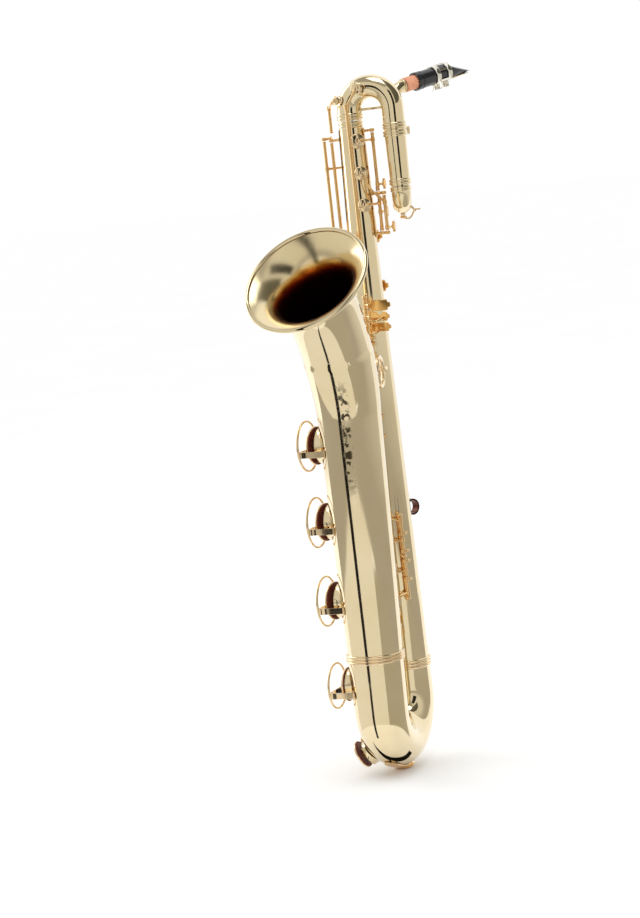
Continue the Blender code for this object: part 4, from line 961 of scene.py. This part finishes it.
class Key:
    """A key's brass, pads and pearls, gathered round one hinge and turned to rest together."""

    def __init__(self, node, hinge, z_low, z_high):
        self.node = node
        self.hinge = at(hinge[0], hinge[1], 0)
        self.brass, self.pads = Piece(GOLD, PALE), Piece(PAD, GOLD)
        self.pearls, self.corks = Piece(PEARL), Piece(CORK)
        length = z_high - z_low
        profile = [(0, 1.6), (0, 2.45), (0.25, 2.7), (2.0, 2.7), (2.25, 2.35)]
        profile += [(length - 2.25, 2.35), (length - 2.0, 2.7), (length - 0.25, 2.7), (length, 2.45),
                    (length, 1.6)]
        self.brass.lathe(self.on_hinge(z_low), Z, profile, 24)
        band = ((-1.2, 2.2), (-0.9, 2.68), (0.9, 2.68), (1.2, 2.2))
        for z in range(int(z_low) + 70, int(z_high) - 40, 95):
            self.brass.lathe(self.on_hinge(z), Z, band, 24)

    def on_hinge(self, z):
        return self.hinge + Z * z

    def collar(self, z):
        self.brass.lathe(self.on_hinge(z), Z, ((-3.0, 2.3), (-2.6, 3.1), (2.6, 3.1), (3.0, 2.3)), 24)

    def arm(self, *points, radius=1.9):
        line = curve(points, 7)
        count = len(line)
        radii = [radius * (1.0 - 0.14 * math.sin(math.pi * i / (count - 1))) for i in range(count)]
        radii[0] = radii[-1] = radius * 0.8
        self.brass.add(swept(line, radii, 20))
        self.collar(points[0].z)

    def lid(self, foot, face, height, radius):
        """The domed cup with its leather pad and the metal reflector in the pad's middle."""
        base = foot + face * (height + LIFT)
        boss = radius * 0.28
        dome = [(1.5, radius - 1.8), (1.3, radius - 0.6), (1.5, radius - 0.15), (3.2, radius - 0.1),
                (3.9, radius - 0.5), (4.3, radius - 1.2), (4.45, radius - 2.2), (4.75, radius * 0.72),
                (5.05, radius * 0.45), (5.2, boss + 2.0), (5.5, boss + 1.5), (6.9, boss + 1.2),
                (7.3, boss + 0.4), (7.4, radius * 0.12)]
        pad = [(0.35, radius * 0.4), (0.15, radius * 0.6), (0.05, radius - 3.0), (0.05, radius - 1.8),
               (0.35, radius - 1.0), (1.0, radius - 0.7), (1.8, radius - 0.8)]
        reflector = [(0.12, radius * 0.1), (0.1, radius * 0.25), (0.16, radius * 0.36), (0.5, radius * 0.4)]
        self.brass.lathe(base, face, dome, 72, look=1)
        self.pads.lathe(base, face, pad, 64)
        self.pads.lathe(base, face, reflector, 48, look=1)
        return base

    def cup(self, hole, at_z=None, shift=0.0):
        foot, face, height, radius = hole
        base = self.lid(foot, face, height, radius)
        top = base + face * CUP_T
        start = self.on_hinge(top.z + shift if at_z is None else at_z)
        side = start - top
        side -= face * side.dot(face)
        side.z = 0
        side.normalize()
        edge = top + face * 0.9 + side * (radius - 0.5) + Z * shift
        if at_z is not None:
            edge.z = top.z + (start.z - top.z) * 0.5
        self.arm(start, edge, top + face * 1.0)
        spread_tip = top + face * 0.5 + side * radius * 0.45 + Z * ((edge.z - top.z) * 0.45)
        self.brass.add(slab(spread_tip, (4.6, radius * 0.8, 1.6), along=edge - top, face=face, soft=0.6))

    def foot(self, z, hinge):
        """A key foot reaching over to the body, with its cork and adjusting screw."""
        out = at(hinge.x, hinge.y, 0).normalized()
        across = Z.cross(out)
        tip = self.on_hinge(z) + across * 8.0 - out * 3.0
        line = curve((self.on_hinge(z), self.on_hinge(z) + across * 4.5 + out * 0.6, tip), 6)
        self.brass.add(swept(line, [1.7] * len(line), 16))
        screw = ((-2.6, 1.6), (-2.2, 2.0), (0.6, 2.2), (1.0, 2.0), (1.0, 1.0))
        self.brass.lathe(tip, -out, screw, 24, look=1)
        self.corks.lathe(tip - out * 1.0, -out, ((0, 1.6), (0.1, 1.8), (1.2, 1.8), (1.3, 1.4)), 20)
        self.collar(z)

    def pearl(self, centre, face, radius):
        cup = ((-2.0, 0.5), (-2.0, 0.75), (-0.6, 0.8), (0.4, 0.97), (1.6, 1.0), (2.0, 0.98), (2.1, 0.9),
               (1.5, 0.86), (1.2, 0.4))
        disc = ((1.3, 0.4), (1.3, 0.84), (1.9, 0.84), (2.25, 0.7), (2.45, 0.42), (2.5, 0.15))
        for piece, profile in ((self.brass, cup), (self.pearls, disc)):
            piece.lathe(centre, face, [(height, radius * part) for height, part in profile], 48)

    def plate(self, centre, size, face):
        self.brass.add(slab(centre, size, face=face, soft=1.0))

    def build(self, turn=0.0):
        for piece, name, slot in ((self.pads, "_pad", "pad_leather"), (self.pearls, "_pearl", "key_pearl"),
                                  (self.corks, "_cork", "cork"), (self.brass, "_brass", "lacquered_keys")):
            if piece.verts:
                replaces = [self.node] if piece is self.brass else ()
                piece.turn(self.hinge, turn).build(self.node + name, self.node, slot, replaces)


def stack_hinge(facing, z):
    return direction(facing + 50.0) * (body_radius(z) + HINGE_H)


LOWER_HINGE = stack_hinge(-15, 156)
UPPER_HINGE = stack_hinge(-40, 410)
TABLE_HINGE = at(12.0, -52.0, 0.0)
TABLE_Y = -64.0
LOW_HINGE = direction(LOW_FACING) * 44.0
LOWER_SPANS = {"d_key": (101, 127), "e_key": (128, 153), "f_key": (160, 184), "fsharp_key": (185, 211)}
UPPER_SPANS = {"g_key": (322, 349), "a_key": (350, 384), "bis_key": (446, 459), "b_key": (460, 484.5)}
BELL_KEY_SWING = {"low_b_key": 62, "low_bb_key": 52, "low_a_key": 42}
BELL_KEY_TOP = {"low_b_key": 497, "low_bb_key": 480, "low_a_key": 365}
SIDE_INNER = at(-32.0, 3.0, 0.0)
SIDE_MIDDLE = at(-35.5, 14.7, 0.0)
SIDE_OUTER = at(-43.0, 3.0, 0.0)
SIDE_POST_TOP = 741.3
THUMB_HINGE = at(-15.0, 31.0, 0.0)
VENT_HINGE = at(-30.0, 1.0, 0.0)
PALM_NEAR = at(28.0, 5.0, 0.0)
PALM_FAR = at(36.5, 3.0, 0.0)


def bell_side_hinge(swing):
    return bell_axis(0) + direction(-90 - swing) * (BELL_FOOT_R + 4.5 + HINGE_H)


def make_stack_keys():
    for spans, hinge in ((LOWER_SPANS, LOWER_HINGE), (UPPER_SPANS, UPPER_HINGE)):
        for name, (low, high) in spans.items():
            key = Key(name, hinge, low + 0.3, high - 0.3)
            hole = body_hole(name)
            foot, face, height, _ = hole
            key.cup(hole, at_z=min(max(foot.z, low + 4), high - 4))
            if name != "fsharp_key":
                key.pearl(foot + face * (height + CUP_T + 3.6), face, 5.0 if name == "bis_key" else 7.0)
            key.foot(low + 3.5 if foot.z > (low + high) / 2 else high - 3.5, hinge)
            key.build(9.0)


def make_table_keys():
    key = Key("gsharp_key", UPPER_HINGE, 280.3, 315.7)
    key.cup(body_hole("gsharp_key"))
    key.build()
    key = Key("low_csharp_key", LOW_HINGE, 4, 26)
    key.cup(csharp_hole(), at_z=8)
    key.build()
    for name, low, high, level, spot, size in (
            ("gsharp_touch", 505.8, 519.1, 512.0, at(37, TABLE_Y, 510.5), (32, 15, 3.2)),
            ("low_csharp_touch", 490.3, 500.2, 496.0, at(29, TABLE_Y, 495.5), (16, 12, 3.2))):
        key = Key(name, TABLE_HINGE, low, high)
        key.arm(key.on_hinge(level), at(17, TABLE_Y + 5.5, level), at(22, TABLE_Y + 1.0, level))
        key.plate(spot, size, (0, -1, 0))
        key.build()


def make_bell_keys():
    for name, swing in BELL_KEY_SWING.items():
        hole = bell_hole(name)
        key = Key(name, bell_side_hinge(swing), hole[0].z - 14, BELL_KEY_TOP[name])
        key.cup(hole, shift=6.0)
        if name == "low_b_key":
            key.arm(key.on_hinge(491.0), at(0, -80, 491), at(38, -78, 491), at(44, TABLE_Y, 494))
            key.plate(at(45.5, TABLE_Y, 495.5), (14, 12, 3.2), (0, -1, 0))
        if name == "low_bb_key":
            key.arm(key.on_hinge(474.0), at(-22, -85.5, 474), at(32, -79, 474), at(36, TABLE_Y, 478))
            key.plate(at(37, TABLE_Y, 481.5), (32, 12, 3.2), (0, -1, 0))
        key.build(-7.0)


def make_low_keys():
    key = Key("low_c_key", LOW_HINGE, -25, -3)
    foot, face, height, radius = low_c_hole()
    base = key.lid(foot, face, height, radius)
    top = base + face * CUP_T
    key.arm(key.on_hinge(-14), at(-45.0, -62.0, -42.0), top + face + at(-5.1, 14.5, 5.9), top + face * 0.8,
            radius=2.2)
    key.build(-5.5)
    key = Key("low_eb_key", LOW_HINGE, 32, 66)
    key.cup(body_hole("low_eb_key"))
    key.arm(key.on_hinge(62), at(-16, -56, 62), at(4, -58, 62))
    key.plate(at(8, -58, 62), (18, 12, 3.2), (0, -1, 0))
    key.build()


def make_side_keys():
    for name, hinge, low, high, tip in (("high_e_key", SIDE_OUTER, 236, 738, at(-51, -3, 262)),
                                        ("side_c_key", SIDE_MIDDLE, 236, 590, at(-51, 11, 300)),
                                        ("side_bb_key", SIDE_INNER, 245.5, 553.5, at(-44, -12, 338))):
        key = Key(name, hinge, low, high)
        key.cup(body_hole(name))
        key.arm(key.on_hinge(tip.z), (key.on_hinge(tip.z) + tip) / 2, tip)
        key.plate(tip + at(-0.8, -1.0, 0), (9, 30, 3.4), (-0.9, -0.43, 0))
        key.build()


def make_palm_keys():
    for name, hinge, low, high, level in (("palm_d_key", PALM_NEAR, 608, 657, 634),
                                          ("palm_eb_key", PALM_FAR, 608, 657, 612),
                                          ("palm_f_key", PALM_NEAR, 663, 744, 672)):
        key = Key(name, hinge, low + 0.3, high - 0.3)
        hole = body_hole(name)
        key.cup(hole, at_z=None if low < hole[0].z < high else high - 10)
        end = at(hinge.x + 4.0, hinge.y + 12.0, level)
        key.arm(key.on_hinge(level), (key.on_hinge(level) + end) / 2, end)
        key.plate(end + at(0.5, 3.0, 0), (11, 15, 3.2), (1.0, 0.1, 0))
        key.build()
    key = Key("front_f_key", at(7.0, -30.0, 0), 600, 785)
    key.cup(front_f_hole(), at_z=781)
    key.arm(key.on_hinge(606), at(1, -34.5, 606), at(-5, -36, 606))
    key.pearl(at(-7, -37, 606), (0, -1, 0), 6.0)
    key.build()


def make_octave_keys():
    key = Key("octave_lever", SIDE_INNER, 562, 735)
    key.arm(key.on_hinge(604), at(-33, 18, 604), at(-24, 31, 604), at(0, 37, 604))
    key.plate(at(5, 38, 600), (20, 18, 3.0), (0, 1, 0))
    key.build()
    key = Key("low_a_touch", THUMB_HINGE, 510.5, 549.5)
    key.arm(key.on_hinge(530), at(-7, 36, 530), at(2, 38, 530))
    key.plate(at(6, 39, 530), (20, 16, 3.0), (0, 1, 0))
    key.build()
    key = Key("octave_vent_key", VENT_HINGE, 748.3, 785.7)
    key.cup(vent_hole(), at_z=782)
    key.build()


def make_water_key():
    _, _, across, side, low = small_bow_frame()
    hinge = low + side * 16.5 - Z * 9
    nipple = low - Z * 15.4
    key = Piece(GOLD)
    key.add(rod(hinge - across * 3.4, hinge + across * 3.4, 2.3, soft=0.6))
    line = curve((hinge, low + side * 9.0 - Z * 19.4, nipple - Z * 2.9), 8)
    key.add(swept(line, [1.5] * len(line), 16, flat=0.8))
    lid = ((0, 4.5), (0.4, 4.9), (2.2, 4.8), (2.8, 4.2), (3.0, 2.0))
    key.lathe(nipple - Z * 0.6, -Z, lid, 32)
    key.add(slab(hinge + side * 4.4 + Z * 0.6, (4.2, 7.4, 2.1), along=side, face=Z, soft=0.8))
    key.build("water_key_lever", "water_key", "lacquered_keys", ["water_key"])
    plug = Piece(CORK)
    plug.lathe(nipple - Z * 0.1, -Z, ((0, 3.4), (0.1, 3.8), (0.5, 3.9), (0.6, 3.6)), 28)
    plug.build("water_key_cork", "water_key", "cork")


make_neck()
make_mouthpiece()
make_reed()
make_ligature()
make_screws()
make_stack_keys()
make_table_keys()
make_bell_keys()
make_low_keys()
make_side_keys()
make_palm_keys()
make_octave_keys()
make_water_key()


# ================================================================ posts and guards

def post(piece, foot, top):
    """A turned post: flanged foot, waisted stem with a ring, ball head on the hinge line, pivot screws."""
    foot, top = Vector(foot), Vector(top)
    line = top - foot
    reach = line.length
    stem = ((-0.6, 3.4), (0.4, 3.5), (1.0, 3.1), (1.6, 2.3), (reach * 0.45, 1.8), (reach * 0.5, 2.3),
            (reach * 0.55, 1.8), (reach - 2.0, 2.2), (reach, 2.4))
    piece.lathe(foot, line, stem, 28)
    angles = [math.pi / 2 * (i / 5 - 1) for i in range(11)]
    ball = [(2.5 * math.sin(a), 1.9 + 1.75 * math.cos(a)) for a in angles]
    piece.lathe(top, Z, [(-2.5, 1.5)] + ball + [(2.5, 1.5)], 32)
    pivot = ((-0.4, 1.4), (0.0, 1.4), (0.05, 1.1), (0.05, 0.4))
    for sign in (-1, 1):
        piece.lathe(top + Z * (2.4 * sign), Z * sign, pivot, 20, look=1)


def post_line(facing, z, hinge):
    return direction(facing) * (body_radius(z) + 1.1) + Z * z, at(hinge.x, hinge.y, z)


def rib(piece, facing, z_low, z_high):
    face = direction(facing)
    low, high = (face * (body_radius(z) + 1.1) + Z * z for z in (z_low, z_high))
    size = (5.8, (high - low).length - 0.2, 1.5)
    piece.add(slab((low + high) / 2, size, along=high - low, face=face, soft=0.5))


def make_posts():
    lines = {
        "lower_stack_posts": (35, 92, 220, ((LOWER_HINGE, (98, 156.5, 214)),)),
        "upper_stack_posts": (10, 272, 526, ((UPPER_HINGE, (277, 318.8, 387.2, 442.8, 487.5)),
                                             (TABLE_HINGE, (487.5, 503.0, 521.9)))),
        "side_key_posts": (-84, 226, 752, ((SIDE_INNER, (557.6, 242.2, 738.3)), (SIDE_OUTER, (232.8,)),
                                           (SIDE_MIDDLE, (232.8, 593.3)))),
        "palm_key_posts": (96, 600, 752, ((PALM_NEAR, (605, 660, 747)), (PALM_FAR, (605, 660)))),
        "octave_posts": (-172, 504, 558, ((THUMB_HINGE, (507.6, 552.4)),)),
    }
    for name, (facing, low, high, hinges) in lines.items():
        piece = Piece(GOLD, STEEL)
        rib(piece, facing, low, high)
        for hinge, levels in hinges:
            for z in levels:
                post(piece, *post_line(facing, z, hinge))
        if name == "side_key_posts":
            top = Z * SIDE_POST_TOP
            post(piece, SIDE_INNER + top, SIDE_OUTER + top)
        piece.build(name + "_turned", replaces=[name])
    bell = Piece(GOLD, STEEL)
    out = direction(-140)
    bell.add(slab(bell_axis(298.5) + out * (BELL_FOOT_R + 9.1), (5.8, 412.8, 1.5), face=out, soft=0.5))
    foot = bell_axis(0) + out * (BELL_FOOT_R + 9.0)
    for name, swing in BELL_KEY_SWING.items():
        hinge = bell_side_hinge(swing)
        for z in (BELL_HOLES[name][0] - 17.3, BELL_KEY_TOP[name] + 3.3):
            post(bell, foot + Z * z, hinge + Z * z)
    for z in (130, 210, 290, 355):
        radius = bell_radius(z - BELL_FOOT)
        bell.add(rod(bell_axis(z) + out * (radius - 0.5), bell_axis(z) + out * (BELL_FOOT_R + 8.6), 1.8))
    bell.build("bell_key_posts_turned", replaces=["bell_key_posts"])
    low = Piece(GOLD, STEEL)
    face = direction(LOW_FACING)
    rib_face = face * (BODY_FOOT_R + 4.4)
    low.add(slab(rib_face + Z * 20.0, (5.8, 103.8, 1.5), face=face, soft=0.5))
    for z in (-28.0, 0.5, 29.0, 69.0):
        post(low, rib_face + Z * z, LOW_HINGE + Z * z)
    low.build("low_key_posts_turned", replaces=["low_key_posts"])


def make_guard(node, centre, radius, tube_radius):
    """A hoop with a cross bar bowed down to two feet on the tube, and a felt stop on a screw."""
    face = direction(BELL_FACE)
    across = face.cross(Z).normalized()
    hub = centre + face * (tube_radius + 23.5)
    drop = Z * -8.0
    half = math.sqrt(radius ** 2 - 64.0)
    guard = Piece(PALE, STEEL)
    guard.add(ring(hub, face, radius, 1.7, sides=96, wire_sides=20))
    feet = [centre + drop + (face * 0.70 + across * (sign * 0.72)) * (tube_radius + 0.4) for sign in (-1, 1)]
    bar = [[foot, foot * 0.35 + (hub + drop + side * half) * 0.65, hub + drop + side * (half - 2.5)]
           for foot, side in zip(feet, (-across, across))]
    strip = curve(bar[0] + [hub + drop] + bar[1][::-1], 8)
    edge = [(-4.3, -0.7), (-4.0, -1.0), (4.0, -1.0), (4.3, -0.7)]
    section = edge + [(-x, -y) for x, y in edge]
    rows = []
    for i, point in enumerate(strip):
        tangent = (strip[min(i + 1, len(strip) - 1)] - strip[max(i - 1, 0)]).normalized()
        out = Z.cross(tangent).normalized()
        rows.append([point + Z * x + out * y for x, y in section])
    guard.add(skin(rows))
    for sign, foot in ((-1, feet[0]), (1, feet[1])):
        out = (face * 0.70 + across * (sign * 0.72)).normalized()
        guard.add(slab(foot + out * 0.3, (9.5, 13.0, 1.4), face=out, soft=0.5))
    guard.lathe(hub + drop + face * 0.6, face, ((-0.6, 4.4), (0.9, 4.4), (1.4, 3.8), (1.4, 1.0)), 32)
    guard.lathe(hub + drop + face * 1.9, face, ((-0.6, 2.0), (0.0, 2.0), (0.2, 1.6), (0.2, 0.4)), 24, look=1)
    guard.build(node + "_hoop", replaces=[node])
    felt = Piece(FELT)
    stop = ((0, 3.6), (0.2, 4.0), (3.2, 4.0), (3.8, 3.4), (3.9, 1.0))
    felt.lathe(hub + drop - face * 0.8, -face, stop, 32)
    felt.build(node + "_felt", slot="black_felt")


def make_springs():
    """Blued needle springs running from the posts along the keys they push."""
    needles = Piece(STEEL)
    groups = ((LOWER_HINGE, 35, (98, 156.5, 214)), (UPPER_HINGE, 10, (277, 318.8, 387.2, 442.8)),
              (LOW_HINGE, LOW_FACING, (0.5, 29.0)), (PALM_NEAR, 96, (605, 660)))
    for hinge, facing, levels in groups:
        for z in levels:
            foot, top = post_line(facing, z, hinge)
            start = foot + (top - foot) * 0.66
            end = start + Z * 25.0 + (top - foot).normalized() * 1.6
            needles.add(rod(start, end, 0.45, 0.25, sides=10, soft=0.1))
    needles.build("needle_springs", slot="needle_steel")


make_posts()
for pitch in ("low_a", "low_bb", "low_b"):
    hole_z, _ = BELL_HOLES[pitch + "_key"]
    make_guard(pitch + "_guard", bell_axis(hole_z), BELL_GUARD_R, bell_radius(hole_z - BELL_FOOT))
make_guard("low_csharp_guard", bell_axis(CSHARP_Z - 2), CSHARP_GUARD_R, BELL_FOOT_R)
make_springs()


# ================================================================ camera, floor and light

FLOOR_Z = (GUARD_FOOT - RING.z - 1.0) * MM
FRONT = 21.9
BELL_AXIS = at(0, -(BELL_GAP + RING.y) * MM, 0)


def matte(name, low, high, scale):
    look = Look(name)
    look.shade({"Base Color": look.ramp(look.noise(scale, 2.0, 0.5), ((0.2, low), (0.8, high))),
                "Roughness": 0.9, "Specular IOR Level": 0.1})
    return look


def make_camera():
    data = bpy.data.cameras.new("camera")
    data.lens = 97.68
    data.sensor_width = 36.0
    data.sensor_fit = "AUTO"
    camera = bpy.data.objects.new("camera", data)
    right = Vector((0.92733, 0.35799, -0.10914))
    up = Vector((0.05519, 0.15763, 0.98596))
    turn = Matrix((right, up, right.cross(up))).transposed().to_4x4()
    camera.matrix_world = Matrix.Translation((1.20603, -3.28238, 0.31156)) @ turn
    bpy.context.scene.collection.objects.link(camera)
    bpy.context.scene.camera = camera


def glow(name, low, high, dim_z, bright_z):
    """A reflector that shines softly: low at the height dim_z, growing to high at bright_z."""
    look = Look(name)
    height = look.wired(look.new("SeparateXYZ"), {"Vector": look.place}, "Z")
    light = look.ramp(look.scaled(height, dim_z, bright_z), ((0.0, low), (1.0, high)))
    look.shade({"Base Color": (0.0, 0.0, 0.0, 1.0), "Specular IOR Level": 0.0, "Emission Color": light,
                "Emission Strength": 1.0})
    return look


def staged(name, verts, faces, look, shown=False):
    mesh = bpy.data.meshes.new(name)
    mesh.from_pydata(verts, [], faces)
    mesh.materials.append(look.material)
    obj = bpy.data.objects.new(name, mesh)
    bpy.context.scene.collection.objects.link(obj)
    obj.visible_camera = obj.visible_diffuse = obj.visible_shadow = shown


def level(name, low, high, z, look, shown=False):
    """A level rectangle between two corners."""
    (x_low, y_low), (x_high, y_high) = low, high
    corners = [(x_low, y_low, z), (x_high, y_low, z), (x_high, y_high, z), (x_low, y_high, z)]
    staged(name, corners, [(0, 1, 2, 3)], look, shown)


def ribbon(name, first, second, look):
    """A strip between two rows of points."""
    count = len(first)
    staged(name, first + second, [(i, i + 1, count + i + 1, count + i) for i in range(count - 1)], look)


def round_about(azimuth, distance, height):
    """A place round the saxophone: azimuth 0 is the bell's side, growing towards the crook loop."""
    angle = math.radians(azimuth)
    return Vector((math.sin(angle) * distance, -math.cos(angle) * distance, height))


def screen(name, stations, z_low, z_high, look):
    """An upright reflector through stations of (degrees round from the lens, metres from the saxophone)."""
    foot = [BELL_AXIS + round_about(FRONT + degrees, distance, 0.0) for degrees, distance in stations]
    ribbon(name, [p + Z * z_low for p in foot], [p + Z * z_high for p in foot], look)


def carpet(name, degrees, near, far, look, lift=0.001):
    """A reflector lying on the floor round the saxophone, between two distances."""
    rows = [[BELL_AXIS + round_about(FRONT + a, d, FLOOR_Z + lift) for a in degrees] for d in (near, far)]
    ribbon(name, *rows, look)


def lamp(name, place, target, size, power):
    data = bpy.data.lights.new(name, "AREA")
    data.shape = "RECTANGLE"
    data.size, data.size_y = size
    data.energy = power
    light = bpy.data.objects.new(name, data)
    light.location = place
    light.rotation_euler = (Vector(target) - Vector(place)).to_track_quat("-Z", "Y").to_euler()
    bpy.context.scene.collection.objects.link(light)


def make_stage():
    world = bpy.data.worlds.new("studio")
    world.use_nodes = True
    sky = world.node_tree.nodes["Background"].inputs
    sky["Color"].default_value = (1.0, 1.0, 1.0, 1.0)
    sky["Strength"].default_value = 1.06
    bpy.context.scene.world = world
    bpy.context.scene.view_settings.view_transform = "Standard"
    paper = matte("floor_paper", (0.93, 0.93, 0.93), (0.945, 0.945, 0.945), 3.0)
    level("floor", (-30, -30), (30, 30), FLOOR_Z, paper, shown=True)
    grey = glow("flat_grey", (0.44, 0.42, 0.38), (0.74, 0.72, 0.66), -0.32, 0.02)
    dim = glow("ceiling_grey", (0.30, 0.29, 0.26), (0.40, 0.39, 0.36), 2.0, 2.5)
    black = matte("flag_black", (0.005, 0.005, 0.005), (0.008, 0.008, 0.008), 2.0)
    front = ((-114, 1.3), (-96, 1.45), (-80, 1.6), (-62, 1.9), (-44, 2.2), (-30, 2.4), (-15, 2.45), (0, 2.4),
             (14, 2.1), (25, 1.8), (35, 1.54), (50, 1.3), (67, 1.1), (84, 0.85), (100, 0.64), (116, 0.5))
    screen("flat_front", front, FLOOR_Z + 0.005, 2.4, grey)
    shade = glow("shade_grey", (0.10, 0.10, 0.08), (0.16, 0.15, 0.12), 0.6, 2.0)
    shaded = ((42, 1.35), (50, 1.25), (67, 1.05), (84, 0.8), (100, 0.6), (116, 0.47))
    screen("flat_shade", shaded, 0.5, 2.3, shade)
    screen("flag_left", ((-42, 0.62), (-36.5, 0.60), (-31, 0.62)), FLOOR_Z + 0.002, 0.55, black)
    soft = glow("carpet_grey", (0.86, 0.84, 0.79), (0.86, 0.84, 0.79), -1.0, 1.0)
    carpet("carpet_front", tuple(range(-114, 25, 8)) + (27,), 0.16, 2.3, soft)
    dull = glow("carpet_dull", (0.46, 0.43, 0.37), (0.46, 0.43, 0.37), -1.0, 1.0)
    carpet("carpet_side", (27, 34, 41, 48, 56, 64, 72, 80, 88, 96, 106, 116), 0.16, 1.5, dull)
    carpet("flag_floor", (-41, -37, -32), 0.07, 0.60, black, 0.002)
    edges = (((-0.044, -0.190), (-0.016, -0.160), (0.014, -0.134), (0.044, -0.106)),
             ((-0.054, -0.202), (-0.018, -0.178), (0.018, -0.150), (0.052, -0.116)))
    ribbon("flag_foot", *[[(x, y, FLOOR_Z + 0.003) for x, y in edge] for edge in edges], black)
    screen("flag_right", ((10, 1.5), (18, 1.5), (30, 1.5)), 0.04, 1.5, black)
    level("ceiling", (-1.6, -3.2), (2.6, 0.6), 2.4, dim)
    lamp("key_left", round_about(-100, 2.4, 1.0), (0, -0.08, 0), (1.0, 2.4), 14.0)
    lamp("top", (0.2, -0.4, 2.3), (0, -0.05, 0), (1.2, 1.2), 10.0)


make_camera()
make_stage()
